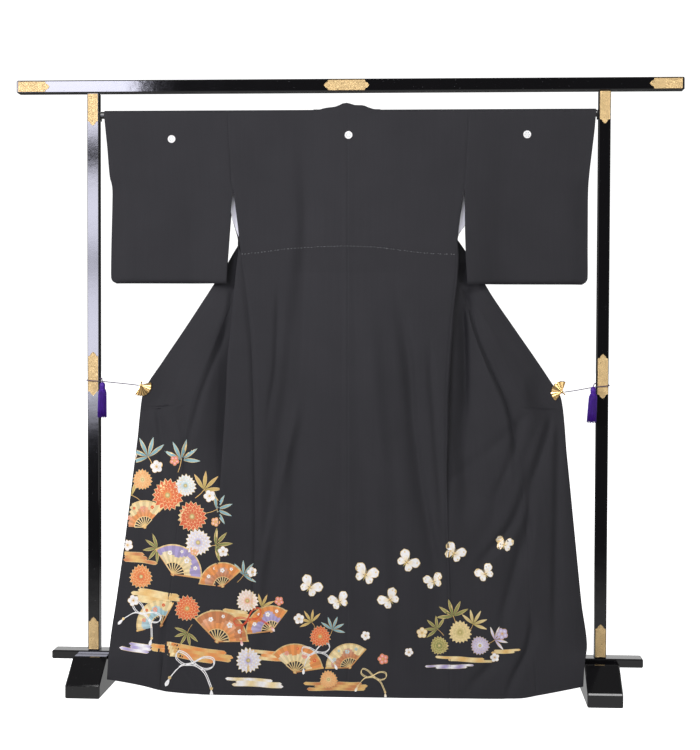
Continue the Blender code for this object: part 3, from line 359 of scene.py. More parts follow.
def table(rows, column, height):
    """Column of the table at a height, eased through its rows by a monotone cubic."""
    x = rows[:, 0]
    y = rows[:, column]
    step = np.diff(x)
    slope = np.diff(y) / step
    tangent = np.zeros(len(x))
    for i in range(1, len(x) - 1):
        if slope[i - 1] * slope[i] > 0:
            w1 = 2 * step[i] + step[i - 1]
            w2 = step[i] + 2 * step[i - 1]
            tangent[i] = (w1 + w2) / (w1 / slope[i - 1] + w2 / slope[i])
    tangent[0] = slope[0]
    tangent[-1] = slope[-1]
    h = min(max(height, x[0]), x[-1])
    i = min(max(int(np.searchsorted(x, h, side="right")) - 1, 0), len(step) - 1)
    t = (h - x[i]) / step[i]
    start = (1 + 2 * t) * (1 - t) ** 2 * y[i] + t * (1 - t) ** 2 * step[i] * tangent[i]
    end = t * t * (3 - 2 * t) * y[i + 1] + t * t * (t - 1) * step[i] * tangent[i + 1]
    return float(start + end)


def ease(low, high, value):
    t = min(max((value - low) / (high - low), 0.0), 1.0)
    return t * t * (3 - 2 * t)


def outline(side):
    return LEFT_OUTLINE if side < 0 else RIGHT_OUTLINE


def side_seam(side, z):
    return table(outline(side), 1, z)


def front_edge(side, z):
    return table(outline(side), 3, z)


def free_edge(side, z):
    return table(outline(side), 4, z)


def middle(z):
    """Where the back seam lies: it wanders a little to the right toward the hem."""
    return 0.003 + 0.011 * (1.6 - z) / 1.6


def back_y(z):
    """Y of the back panel: plumb off the rod, then leaning out to the hem."""
    fall = min(max((ROD_HEIGHT - z) / ROD_HEIGHT, 0.0), 1.0)
    return -OVER_ROD + (HEM_Y + OVER_ROD) * fall


def inner_y(z):
    """Y of the front panel where it hangs behind the back panel."""
    low = back_y(SIDE_SEAM_TOP) + BEHIND_BACK
    if z < SIDE_SEAM_TOP:
        return back_y(z) + BEHIND_BACK
    return low + (OVER_ROD - low) * (z - SIDE_SEAM_TOP) / (ROD_HEIGHT - SIDE_SEAM_TOP)


def fold_depth(folds, x, z, fades=(-0.25, 0.15, 0.75, 1.02), bow=0.012):
    """Depth of the soft folds at a place: each is a bowed trough that widens from its head to its foot."""
    total = 0.0
    for foot_x, foot_z, head_x, head_z, depth, foot_half, head_half in folds:
        t = (z - foot_z) / (head_z - foot_z)
        inside = ease(*fades[:2], t) * (1 - ease(*fades[2:], t))
        if inside <= 0:
            continue
        centre = foot_x + (head_x - foot_x) * t + bow * math.sin(math.pi * t)
        half = foot_half + (head_half - foot_half) * min(max(t, 0.0), 1.0)
        total += depth * inside * math.exp(-(((x - centre) / half) ** 2))
    return total


def crease_depth(folds, x, z):
    """As fold_depth, with straight narrow creases that fade out at both ends."""
    return fold_depth(folds, x, z, (-0.12, 0.25, 0.70, 1.05), 0.0)


@functools.lru_cache(maxsize=None)
def drape_at(which, z):
    """The folds of a list that cross one height: centre, half widths and depth there."""
    folds = (BACK_DRAPE, FRONT_DRAPE)[which]
    met = []
    for depth, left, right, *path in folds:
        low, high = path[0][1], path[-1][1]
        near = 0.05 + 0.15 * (high - low)
        inside = ease(low - near, low + near, z) * (1 - ease(high - near * 0.6, high + near * 0.6, z))
        if inside > 0:
            xs, zs = zip(*path)
            centre = sum(np.interp(z + d, zs, xs) for d in PATH_EASE) / len(PATH_EASE)
            met.append((float(centre), left, right, depth * inside * DRAPE_GAIN))
    return met


def drape(which, x, z):
    """Depth of the single folds at a place: of the back panel, 0, or of the fronts, 1."""
    total = 0.0
    for centre, left, right, depth in drape_at(which, round(z, 4)):
        half = left if x < centre else right
        total += depth * math.exp(-(((x - centre) / half) ** 2))
    return total


def seam_dip(distance):
    """How far the cloth is drawn in at a seam that is this far away."""
    return 0.0011 * math.exp(-((distance / 0.0024) ** 2))


def squeeze(point, side):
    """Moves a point near the floor up so that the bottom row follows the hem line."""
    lift = table(HEM_LINE[side], 1, abs(point.x)) * (1 - ease(0.0, HEM_FADE, point.z))
    return Vector((point.x, point.y, point.z + lift))


def pinch(point):
    """Flattens the cloth into the middle plane where a clip holds it."""
    side = 1 if point.x > 0 else -1
    px, pz = CLIP_PIVOT[side]
    reach = math.hypot(point.x - px, point.z - pz)
    held = 1 - ease(*CLIP_HOLD, reach)
    return Vector((point.x, point.y * (1 - held), point.z))


def back_point(side, x, z):
    reach = side_seam(side, z)
    near_seam = 1 - ease(0.80, 1.0, abs(x) / reach)
    y = back_y(z) + fold_depth(BACK_FOLDS, x, z) * near_seam
    y += drape(0, x, z)
    y += seam_dip(abs(x) - abs(side * middle(z))) + seam_dip(reach - abs(x))
    return Vector((x, y, z))


def front_row(side, z, count):
    """Plan of the front panel at one height, from the side seam to its front edge.

    The panel runs out past the seam, turns in behind the back panel and turns out again to its edge.
    """
    start = side_seam(side, z)
    turn = table(outline(side), 2, z)
    end = front_edge(side, z)
    joined = 1 - ease(SIDE_SEAM_TOP - 0.01, SIDE_SEAM_TOP + 0.05, z)
    if z > SIDE_SEAM_TOP:
        start += table(SIDE_SLIT[side], 1, z)
    turn += 0.004 * (side > 0) * ease(0.60, 0.75, z) * (1 - ease(0.98, 1.10, z))
    turn = start + max(turn - start, 0.0) * ease(0.1, 1.0, joined)
    back = (2 * turn + end - start - FRONT_WIDTH) / 2
    back = min(back, turn, end)
    out = turn - start
    hidden = turn - back
    again = end - back
    length = out + hidden + again
    # roundness of the two turns, and how far apart the layers lie: close at the foot, wide from the clips up
    soft = 0.0045 + 0.0050 * (side > 0) * (1 - ease(1.00, 1.15, z))
    close = 0.18 + 0.92 * ease(0.42, 0.84, z) - 0.10 * ease(1.05, 1.20, z)
    layer = FOLD_LAYER * close
    y_start = inner_y(z) + (back_y(z) - inner_y(z)) * joined
    y_start -= 0.004 * ease(1.27, 1.30, z) * (1 - ease(1.37, 1.42, z))
    y_end = table(FRONT_DEPTHS, 1, z)
    s = np.linspace(0.0, length, FRONT_STEPS + 1)
    first = s - out
    second = s - out - hidden

    def ramp(t):
        return (t + np.sqrt(t * t + soft * soft)) / 2

    def step(t):
        return (1 + t / np.sqrt(t * t + soft * soft)) / 2

    turned_in = ease(0.006, 0.016, hidden)
    turned_out = ease(0.003, 0.005, again)
    x = start + s - 2 * turned_in * (ramp(first) - turned_out * ramp(second))
    x = x - np.linspace(x[0] - start, x[-1] - end, len(s))
    fullness = ease(0.0, 0.030, min(hidden, again))
    rise = step(first)
    rise = (rise - rise[0]) / max(1 - rise[0], 1e-6)
    y_inner = y_start + (inner_y(z) - y_start) * close
    y = y_start + (y_inner - y_start) * rise * ease(0.0, 0.02, hidden)
    y = y + layer * fullness * step(second) * ease(0.0, 0.02, hidden)
    along = np.clip(second / max(again, 1e-6), 0.0, 1.0) if hidden > 0.004 else s / length
    settle = along * along * (3 - 2 * along)
    y = y + (y_end - y[-1]) * settle
    bend = np.abs(np.gradient(np.unwrap(np.arctan2(np.gradient(y), np.gradient(x)))))
    weight = np.concatenate([[0.0], np.cumsum(length / FRONT_STEPS + BEND_PULL * bend[1:])])
    at = np.interp(np.linspace(0.0, weight[-1], count), weight, s)
    points = []
    for q in at:
        a = float(np.interp(q, s, x))
        b = float(np.interp(q, s, y))
        b += fold_depth(CLIP_FOLDS, side * a, z) * ease(0.0, 0.12, q / length)
        b += drape(0, side * a, z) * (1 - ease(0.8, 1.4, q / max(out, 0.01)))
        b += drape(1, side * a, z) * ease(0.0, 1.0, (q - out) / max(hidden, 0.02))
        b += seam_dip(length - q) + seam_dip(q) * ease(0.0, 0.02, 1.2 - z)
        points.append(Vector((side * a, b, z)))
    return points


def cloth_mesh(rows, wrap=False):
    """A thin cloth piece from rows of points, with its own UV map in metres along and across the cloth."""
    bm = bmesh.new()
    grid = [[bm.verts.new(p) if p is not None else None for p in row] for row in rows]
    uv = bm.loops.layers.uv.new("cloth")
    longest = max(range(len(rows[0])), key=lambda k: sum(row[k] is not None for row in rows))
    down = [0.0]
    for low, high in zip(rows[:-1], rows[1:]):
        down.append(down[-1] + (low[longest] - high[longest]).length)
    pairs = list(zip(range(len(rows) - 1), range(1, len(rows))))
    if wrap:
        pairs.append((len(rows) - 1, 0))
        down.append(down[-1] + (rows[-1][longest] - rows[0][longest]).length)
    for i, j in pairs:
        across = 0.0
        for k in range(len(rows[i]) - 1):
            corners = (grid[i][k], grid[i][k + 1], grid[j][k + 1], grid[j][k])
            if not all(corners):
                continue
            width = (rows[i][k + 1] - rows[i][k]).length
            face = bm.faces.new(corners)
            last = down[i + 1]
            places = ((across, down[i]), (across + width, down[i]), (across + width, last), (across, last))
            for loop, place in zip(face.loops, places):
                loop[uv].uv = place
            across += width
    return bm, grid


def placed(name, data):
    """A new object in the scene."""
    made = bpy.data.objects.new(name, data)
    bpy.context.scene.collection.objects.link(made)
    return made


def finished(name, bm, paint, smooth=True, outward=True):
    """Turns a bmesh into an object with its faces pointing outwards."""
    if outward:
        bmesh.ops.recalc_face_normals(bm, faces=bm.faces)
    mesh = bpy.data.meshes.new(name)
    bm.to_mesh(mesh)
    bm.free()
    made = placed(name, mesh)
    mesh.materials.append(paint)
    for face in mesh.polygons:
        face.use_smooth = smooth
    return made


def deselected():
    """Leaves no object selected, so that an operator touches only what is added or picked next."""
    bpy.ops.object.select_all(action="DESELECT")


def pick(made):
    """Makes one object the only selected and the active one."""
    deselected()
    made.select_set(True)
    bpy.context.view_layer.objects.active = made


def walled(made, wall, offset, even=False, clamp=0.0):
    """Gives a sheet its wall, to both sides of the sheet at offset 0."""
    thick = made.modifiers.new("wall", "SOLIDIFY")
    thick.thickness = wall
    thick.offset = offset
    thick.use_even_offset = even
    thick.thickness_clamp = clamp
    pick(made)
    bpy.ops.object.modifier_apply(modifier="wall")
    return made


def thickened(made, wall, even=True):
    """Gives a cloth piece its wall and rounds its shading over all but its edges."""
    walled(made, wall, 0.0, even, 1.0)
    bpy.ops.object.shade_smooth_by_angle(angle=math.radians(55))
    return made


def sewn(name, rows, wall, paint, even=True):
    """A finished cloth piece from rows of points."""
    return thickened(finished(name, cloth_mesh(rows)[0], paint), wall, even)


def tied_to_frame(made, nodes):
    """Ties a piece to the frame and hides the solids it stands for."""
    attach(made, "root")
    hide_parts(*nodes)


def hung(made, nodes):
    """Ties a cloth piece to the frame and hides the solids it stands for."""
    tied_to_frame(made, nodes)
    return made


def heights(low, high, step):
    """Evenly spaced heights from low to high, about a step apart."""
    count = max(int(round((high - low) / step)), 1)
    return list(np.linspace(low, high, count + 1))


def edge_marks(low, high, count, edge=0.006):
    """Places from low to high that crowd together at both ends, for the turn of a seam."""
    near = [low, low + edge * 0.25, low + edge * 0.55, low + edge]
    far = [high - edge, high - edge * 0.55, high - edge * 0.25, high]
    return near + list(np.linspace(low + edge, high - edge, count))[1:-1] + far


def half_back(side, z, columns):
    """Places across one half of the back: from the back seam to the neck's line, and on to the side seam."""
    centre = side * middle(z) - LAP
    reach = side_seam(side, z) + LAP
    return edge_marks(centre, NECK_SEAM, NECK_COLUMNS), edge_marks(NECK_SEAM, reach, columns)


def make_body(side, name, settings):
    """The back panel, over the rod and down the front as one length of cloth."""
    levels = heights(0.0, ROWS_TOP, settings.row_step)
    rows = []
    for z in levels:
        inner, outer = half_back(side, z, settings.columns)
        row = [squeeze(back_point(side, side * m, z), side) for m in inner + outer[1:]]
        row[0].y += TUCK * (side > 0)
        rows.append(row)
    nape, across = half_back(side, ROD_HEIGHT, settings.columns)
    nape.pop()
    top_row = [Vector((side * m, NAPE_Y, NAPE_Z)) for m in nape]
    rows.append(top_row + [Vector((side * m, -OVER_ROD, ROD_HEIGHT)) for m in across])
    blank = [None] * len(nape)
    for angle in range(20, 181, 20):
        y = -OVER_ROD * math.cos(math.radians(angle))
        z = ROD_HEIGHT + OVER_ROD * math.sin(math.radians(angle))
        risen = blank
        if angle <= 60:
            risen = []
            for m in nape:
                full = crest_height(side * m) - 0.0022
                up = NAPE_Z + (full - NAPE_Z) * angle / 60
                out = -0.0134 + 0.0046 * (angle / 60) ** 2
                near = ease(0.060, NECK_HALF, m)
                risen.append(Vector((side * m, out + (y - out) * near, up + (z - up) * near)))
        rows.append(risen + [Vector((side * m, y, z)) for m in across])
    for z in reversed(levels):
        row = front_row(side, z, len(across))
        row[0].x -= side * LAP
        row[0].y += TUCK
        rows.append(blank + [pinch(squeeze(p, side)) for p in reversed(row)])
    return sewn(name, rows, settings.wall, silk_crepe(), even=False)


def collar_share(side, z):
    """Where the collar's seam lies between the front panel's edge and the free edge."""
    inner = front_edge(side, z)
    return max(table(COLLAR_SEAM[side], 1, z) + 0.0040 - inner, 0.0) / (free_edge(side, z) - inner)


def okumi_point(side, share, z):
    """A place on the overlap panel, at a share of its width from its seam."""
    inner = front_edge(side, z) - 2 * LAP
    outer = free_edge(side, z)
    y_in = table(FRONT_DEPTHS, 1, z)
    y_out = table(FRONT_DEPTHS, 2, z)
    x = side * (inner + (outer - inner) * share)
    y = y_in + (y_out - y_in) * share + fold_depth(CLIP_FOLDS, x, z) + drape(1, x, z)
    y += seam_dip((outer - inner) * share) + (TUCK if share == 0.0 else 0.0)
    return pinch(squeeze(Vector((x, y, z)), side))


def make_okumi(side, name, settings):
    """The overlap panel: from the front panel's edge to the free edge, its top running up to a point."""
    top = OKUMI_TOP[side]
    shares = [0.0, 0.012, 0.03] + list(np.linspace(0.06, 1.0, 26))
    rows = []
    for z in heights(0.0, COLLAR_END - 0.004, settings.row_step):
        rows.append([okumi_point(side, k, z) for k in shares])
    for z in heights(COLLAR_END + 0.002, top - 0.04, settings.row_step * 0.7):
        share = collar_share(side, z)
        rows.append([okumi_point(side, share * k, z) for k in shares])
    tip = okumi_point(side, 0.0, top)
    base = rows[-1]
    for t in (0.3, 0.55, 0.75):
        rows.append([p.lerp(tip, t) for p in base])
    return sewn(name, rows, settings.wall, silk_crepe())


def sleeve_point(side, x_share, z, front):
    """A place on the sleeve's front or back sheet, at a share of its width from the body."""
    rows = LEFT_SLEEVE if side < 0 else RIGHT_SLEEVE
    inner = table(rows, 1, z)
    if z >= ARM_SEAM_END:
        inner = side_seam(side, z) - LAP
    outer = table(rows, 2, z)
    x = inner + (outer - inner) * x_share
    low = rows[0, 0]
    round_off = min(max((low + SLEEVE_ROUND - z) / SLEEVE_ROUND, 0.0), 1.0)
    full = math.sqrt(max(1 - round_off * round_off, 0.0))
    half = OVER_ROD * full
    half *= 1 - 0.62 * ease(0.84, 1.0, x_share) * (1 - ease(1.38, 1.43, z))
    middle_y = (inner_y(z) + back_y(z)) / 2
    near = inner_y(z) if front else back_y(z)
    near_y = middle_y + (near - middle_y) * full
    far_y = half if front else -half
    blend = ease(0.0, 0.34, x_share)
    wave = 0.0012 * math.sin(9.0 * x_share + 1.3 + 2.0 * side) * (1 - ease(1.30, 1.57, z))
    y = near_y + (far_y - near_y) * blend + wave * ease(0.0, 0.2, x_share)
    inward = -1 if front else 1
    y += inward * crease_depth(SLEEVE_CREASES, side * x, z)
    if z > ARM_SEAM_END:
        tuck = TUCK if x_share == 0.0 else 0.0
        y += inward * (seam_dip(x - inner) + tuck) * ease(ARM_SEAM_END, 1.40, z)
    return Vector((side * x, y, z))


def make_sleeve(side, name, settings):
    """A flat tube over the rod: open to the body, its outer edge sewn shut below the hand's opening."""
    shares = edge_marks(0.0, 1.0, settings.sleeve_columns, 0.02)
    levels = [1.1345, 1.1360, 1.1380, 1.1410, 1.1450, 1.1500]
    levels += heights(1.158, ROWS_TOP, settings.row_step)
    bottom = (LEFT_SLEEVE if side < 0 else RIGHT_SLEEVE)[0, 0]
    rows = [[sleeve_point(side, k, z, False) for k in shares] for z in levels]
    for angle in range(0, 181, 20):
        row = []
        for k in shares:
            base = sleeve_point(side, k, ROD_HEIGHT, False)
            reach = OVER_ROD - (TUCK if k == 0.0 else 0.0)
            y = -reach * math.cos(math.radians(angle))
            row.append(Vector((base.x, y, ROD_HEIGHT + reach * math.sin(math.radians(angle)))))
        rows.append(row)
    rows += [[sleeve_point(side, k, z, True) for k in shares] for z in reversed(levels)]
    row = []
    for k in shares:
        near = sleeve_point(side, k, levels[0], False)
        far = sleeve_point(side, k, levels[0], True)
        under = sleeve_point(side, k, bottom, False)
        row.append(Vector((under.x, (near.y + far.y) / 2, bottom)))
    rows.append(row)
    bm, grid = cloth_mesh(rows, wrap=True)
    closed = [i for i, z in enumerate(levels) if z <= CUFF_BOTTOM]
    last = len(rows) - 1
    for i in closed[:-1]:
        bm.faces.new((grid[i][-1], grid[i + 1][-1], grid[last - 2 - i][-1], grid[last - 1 - i][-1]))
    bm.faces.new((grid[0][-1], grid[last - 1][-1], grid[last][-1]))
    return thickened(finished(name, bm, silk_crepe()), settings.wall)


def collar_rows(side, step):
    """Seam, middle and free edge of the collar down one side, below the nape."""
    rows = []
    for z in reversed(heights(COLLAR_END - 0.007, 1.555, step)):
        if z < OKUMI_TOP[side]:
            x = table(COLLAR_SEAM[side], 1, z)
            inner = front_edge(side, z)
            y_in = table(FRONT_DEPTHS, 1, z)
            y = y_in + (table(FRONT_DEPTHS, 2, z) - y_in) * (x - inner) / (free_edge(side, z) - inner)
        else:
            x = front_edge(side, z)
            y = table(FRONT_DEPTHS, 1, z)
        edge_z = z + 0.028 * ease(0.82, 0.92, z) - 0.006 * (1 - ease(0.79, 0.82, z))
        edge = Vector((side * free_edge(side, edge_z), table(FRONT_DEPTHS, 2, edge_z), edge_z))
        seam = Vector((side * (x - 0.0032), y + 0.0030 * ease(1.53, 1.58, z), z))
        centre = (seam + edge) / 2
        for place in (seam, centre, edge):
            place.y += fold_depth(CLIP_FOLDS, place.x, place.z) + drape(1, place.x, place.z) + 0.0005
        rows.append((seam, centre, edge))
    return rows


def nape_rows(side):
    """The nape's rows with the ones between them, eased."""
    chain = [tuple(Vector((side * p[0], p[1], p[2])) for p in row) for row in NAPE_ROWS]
    made = []
    for i in range(len(chain) - 1):
        before = chain[max(i - 1, 0)]
        if i == 0:
            before = tuple(Vector((-p.x, p.y, p.z)) for p in chain[1])
        after = chain[min(i + 2, len(chain) - 1)]
        for step in range(4):
            made.append(tuple(smooth_step(*four, step / 4) for four in zip(before, chain[i], chain[i + 1], after)))
    made.append(chain[-1])
    for _, ridge, _ in made:
        share = 1 - ease(0.076, 0.088, abs(ridge.x))
        ridge.z += (crest_height(ridge.x) - 0.0010 - ridge.z) * share
    return made


def crest_height(x):
    """Height of the collar's top behind the neck."""
    return ROD_HEIGHT + OVER_ROD + 0.0014 + table(NAPE_CREST, 1, x)


def smooth_step(a, b, c, d, t):
    """A place between b and c on the Catmull-Rom curve through four places."""
    return (b * 2 + (c - a) * t + (a * 2 - b * 5 + c * 4 - d) * t**2 + (b * 3 - a - c * 3 + d) * t**3) / 2


def make_collar(settings):
    """One folded strip from clip to clip over the nape."""
    right = nape_rows(1) + collar_rows(1, settings.row_step)
    left = nape_rows(-1)[1:] + collar_rows(-1, settings.row_step)
    rows = []
    for seam, ridge, edge in list(reversed(left)) + right:
        control = ridge * 2 - (seam + edge) / 2
        row = []
        for k in range(13):
            t = k / 12
            row.append(pinch(seam * (1 - t) ** 2 + control * 2 * t * (1 - t) + edge * t * t))
        rows.append(row)
    return sewn("collar_cloth", rows, settings.collar_wall, silk_crepe(), even=False)


def make_lining(side, name):
    """The white strip along the open side slit, on the inner face of the front."""
    rows = []
    for z in heights(LINING_LOW, LINING_HIGH, LINING_ROW):
        row = front_row(side, z, 160)
        edge = row[0].x
        strip = []
        for inset in np.linspace(table(SIDE_SLIT[side], 2, z), LINING_WIDTH, 9):
            near = min(row[:80], key=lambda p: abs(abs(edge - p.x) - inset))
            strip.append(Vector((edge - side * inset, near.y - LINING_DEPTH, z)))
        rows.append(strip)
    return sewn(name, rows, LINING_WALL, lining_silk())


class Flow:
    """A value inside a material's nodes, so that shader maths reads as an ordinary expression."""

    def __init__(self, tree, socket):
        self.tree = tree
        self.socket = socket

    def maths(self, operation, first, second=None, clamp=False):
        made = self.tree.nodes.new("ShaderNodeMath")
        made.operation = operation
        made.use_clamp = clamp
        for slot, value in zip(made.inputs, (first, second)):
            if isinstance(value, Flow):
                self.tree.links.new(value.socket, slot)
            elif value is not None:
                slot.default_value = value
        return Flow(self.tree, made.outputs[0])

    def __add__(self, other):
        return self.maths("ADD", self, other)

    __radd__ = __add__

    def __sub__(self, other):
        return self.maths("SUBTRACT", self, other)

    def __rsub__(self, other):
        return self.maths("SUBTRACT", other, self)

    def __mul__(self, other):
        return self.maths("MULTIPLY", self, other)

    __rmul__ = __mul__

    def __truediv__(self, other):
        return self.maths("DIVIDE", self, other)

    def sine(self):
        return self.maths("SINE", self)

    def size(self):
        return self.maths("ABSOLUTE", self)

    def clamped(self):
        return self.maths("MULTIPLY", self, 1.0, clamp=True)

    def between(self, low, high):
        """0 at low, 1 at high, eased."""
        return ((self - low) / (high - low)).clamped()


class Finish:
    """A material in the making: its nodes, its Principled shader, and one method for every other node."""

    def __init__(self, name, sockets):
        self.material = bpy.data.materials.new(name)
        self.material.use_nodes = True
        self.tree = self.material.node_tree
        self.shader = self.tree.nodes["Principled BSDF"]
        for key, value in sockets.items():
            self.shader.inputs[key].default_value = value

    def feed(self, socket, value):
        if isinstance(value, Flow):
            self.tree.links.new(value.socket, socket)
        else:
            socket.default_value = value

    def node(self, kind, settings, values, out=0):
        """Any other node: its own settings, the values or links of its inputs, and the output that is used."""
        made = self.tree.nodes.new(kind)
        for key, value in settings.items():
            setattr(made, key, value)
        for key, value in values.items():
            self.feed(made.inputs[key], value)
        return Flow(self.tree, made.outputs[out])

    def place(self):
        return self.node("ShaderNodeTexCoord", {}, {}, "Object")

    def cloth_place(self):
        return self.node("ShaderNodeUVMap", {"uv_map": "cloth"}, {})

    def stretched(self, place, scale):
        return self.node("ShaderNodeMapping", {}, {"Vector": place, "Scale": scale})

    def noise(self, place, scale, detail=2.0, rough=0.5):
        values = {"Vector": place, "Scale": scale, "Detail": detail, "Roughness": rough}
        return self.node("ShaderNodeTexNoise", {}, values)

    def axis(self, place, name):
        return self.node("ShaderNodeSeparateXYZ", {}, {"Vector": place}, name)

    def mixed(self, share, first, second):
        """A colour between two others."""
        made = self.tree.nodes.new("ShaderNodeMix")
        made.data_type = "RGBA"
        self.feed(made.inputs[0], share)
        self.feed(made.inputs[6], first)
        self.feed(made.inputs[7], second)
        return Flow(self.tree, made.outputs[2])

    def bumped(self, height, strength, distance):
        return self.node("ShaderNodeBump", {}, {"Height": height, "Strength": strength, "Distance": distance})

    def worn(self, sockets):
        """Links the shader's sockets and hands over the finished material."""
        for key, value in sockets.items():
            self.feed(self.shader.inputs[key], value)
        return self.material


def once(name):
    """Makes a material when it is first asked for; later it is found by its name."""

    def held(make):
        @functools.wraps(make)
        def found():
            return bpy.data.materials.get(name) or make(name)

        return found

    return held


def tint(colour, share=1.0):
    """A colour made darker or brighter, with its alpha."""
    return (colour[0] * share, colour[1] * share, colour[2] * share, 1.0)


@once("black_silk_crepe")
def silk_crepe(name):
    """Matt black silk crepe: pebbled threads, a finer cross thread, slow changes of tone and a painted highlight round
    the back's middle.
    """
    look = bpy.context.scene.kimono_cloth
    sheen = {"Sheen Weight": look.sheen, "Sheen Roughness": 0.45, "Sheen Tint": (0.80, 0.82, 1.0, 1.0)}
    made = Finish(name, {**sheen, "Specular IOR Level": 0.25})
    cloth = made.cloth_place()
    pebble = made.noise(made.stretched(cloth, (1.0, 0.55, 1.0)), 1.0 / look.crepe_pitch, 3.0, 0.62)
    thread = made.noise(made.stretched(cloth, (2600.0, 420.0, 1.0)), 1.0, 1.0)
    column = made.noise(made.stretched(cloth, (240.0, 5.0, 1.0)), 1.0, 2.0)
    slow = made.noise(cloth, 9.0, 3.0)
    fleck = made.noise(made.stretched(cloth, (330.0, 260.0, 1.0)), 1.0, 2.0, 0.7)
    place = made.place()
    x = made.axis(place, "X")
    z = made.axis(place, "Z")
    # fall and centre are a painted highlight: a soft pool round the back's middle, near 1.24 m high, is painted up to a
    # tenth brighter where the light falls strongest.
    fall = x * x * 12.0 + (z - 1.24) * (z - 1.24) * 5.0
    centre = (1.0 - fall).clamped() * 0.10
    # A band below the basting line is painted a little darker, by a twentieth of the tone.
    darker_band = ((z - DARK_BAND_LOW) * 300.0).clamped() * ((DARK_BAND_HIGH - z) * 300.0).clamped()
    darker_band = darker_band * ((DARK_BAND_HALF - x.size()) * 90.0).clamped()
    # The tone takes in the painted highlight (centre) as well as the random grain and mottling.
    tone = column * 0.16 + slow * 0.22 + fleck * 0.36 + pebble * 0.16 + centre - darker_band * 0.05
    colour = made.mixed(tone.between(0.22, 0.82), tint(look.colour, 0.74), tint(look.colour, 1.40))
    relief = made.bumped(pebble * 0.8 + thread * 0.2, 0.45, 0.0004)
    return made.worn({"Base Color": colour, "Roughness": 0.78 + fleck * 0.14, "Normal": relief})


@once("white_lining_silk")
def lining_silk(name):
    """Plain white lining silk with a soft shine."""
    made = Finish(name, {"Sheen Weight": 0.3, "Specular IOR Level": 0.4})
    place = made.place()
    weave = made.noise(made.stretched(place, (1500.0, 1500.0, 500.0)), 1.0, 1.0)
    slow = made.noise(place, 14.0, 2.0)
    colour = made.mixed(slow * 0.8, (0.90, 0.89, 0.95, 1.0), (0.74, 0.73, 0.82, 1.0))
    relief = made.bumped(weave, 0.2, 0.0002)
    return made.worn({"Base Color": colour, "Roughness": 0.42 + weave * 0.15, "Normal": relief})


@once("black_lacquer_gloss")
def lacquer(name):
    """Deep black lacquer: mirror-like with a slow ripple, a little dust and rubbed patches."""
    look = bpy.context.scene.kimono_stand
    made = Finish(name, {"Specular IOR Level": 0.85, "Coat Roughness": 0.03, "Coat IOR": 1.6})
    place = made.place()
    ripple = made.noise(place, 34.0, 2.0, 0.6)
    peel = made.noise(place, 420.0, 2.0, 0.6)
    rubbed = made.noise(made.stretched(place, (10.0, 10.0, 4.0)), 1.0, 4.0, 0.65)
    speck = (made.noise(place, 260.0, 1.0) - 0.74).clamped() * 14.0
    colour = made.mixed(speck.clamped() * 0.5, tint(look.lacquer_colour), (0.10, 0.10, 0.11, 1.0))
    rough = rubbed.between(0.35, 0.80) * 0.07 + look.lacquer_roughness + speck.clamped() * 0.3
    relief = made.bumped(ripple * 0.8 + peel * 0.2, 0.10, 0.0012)
    return made.worn({"Base Color": colour, "Roughness": rough, "Coat Weight": 0.25 + rubbed * 0.2, "Normal": relief})


@once("engraved_gold_plate")
def engraved_gold(name):
    """Pale gold sheet with fine engraved scrolls on a punched ground."""
    look = bpy.context.scene.kimono_stand
    made = Finish(name, {"Specular IOR Level": 0.6})
    place = made.place()
    warp = made.node("ShaderNodeTexNoise", {}, {"Vector": place, "Scale": 90.0, "Detail": 1.0}, "Color")
    bent = made.node("ShaderNodeVectorMath", {"operation": "MULTIPLY"}, {0: warp, 1: (0.010, 0.0, 0.010)})
    bent = made.node("ShaderNodeVectorMath", {"operation": "ADD"}, {0: place, 1: bent})
    curl = made.node("ShaderNodeTexVoronoi", {"feature": "F1"}, {"Vector": bent, "Scale": 88.0}, "Distance")
    line = (curl * 30.0).sine().size()
    cut = 1.0 - line.between(0.10, 0.62)
    punched = made.node("ShaderNodeTexVoronoi", {"feature": "F1"}, {"Vector": place, "Scale": 900.0}, "Distance")
    tone = made.noise(place, 130.0, 2.0)
    bright = made.mixed(tone, tint(look.gold_colour, 1.08), tint(look.gold_colour, 0.88))
    colour = made.mixed(cut * 0.80, bright, (0.30, 0.15, 0.045, 1.0))
    relief = made.bumped(line.between(0.0, 0.6) * 0.8 + punched * 0.2, 0.9, 0.0008)
    metal = 0.32 - cut * 0.2
    rough = 0.40 + tone * 0.14
    return made.worn({"Base Color": colour, "Metallic": metal, "Roughness": rough, "Normal": relief})


@once("polished_gold_clip")
def polished_gold(name):
    """Bright polished gold for the fan clips."""
    look = bpy.context.scene.kimono_stand
    made = Finish(name, {"Specular IOR Level": 0.7})
    place = made.place()
    brushed = made.noise(place, 700.0, 2.0)
    tone = made.noise(place, 60.0, 2.0)
    colour = made.mixed(tone, tint(look.gold_colour, 1.02), (0.80, 0.46, 0.15, 1.0))
    relief = made.bumped(brushed, 0.10, 0.0002)
    return made.worn({"Base Color": colour, "Metallic": 0.95, "Roughness": 0.10 + brushed * 0.08, "Normal": relief})


def twisted_silk(name, colour, dark, pitch):
    """Silk thread for cords and tassels: fine strands along Z with a faint twist."""
    made = Finish(name, {"Sheen Weight": 0.05, "Sheen Roughness": 0.35, "Sheen Tint": tint(colour, 2.0)})
    place = made.place()
    strand = made.noise(made.stretched(place, (pitch, pitch, pitch * 0.04)), 1.0, 2.0, 0.6)
    slow = made.noise(place, 160.0, 2.0)
    share = strand * 0.8 + slow * 0.2
    paint = made.mixed(share.between(0.30, 0.70), tint(dark), tint(colour))
    relief = made.bumped(strand, 0.5, 0.0004)
    return made.worn({"Base Color": paint, "Roughness": 0.45 + strand * 0.2, "Normal": relief})


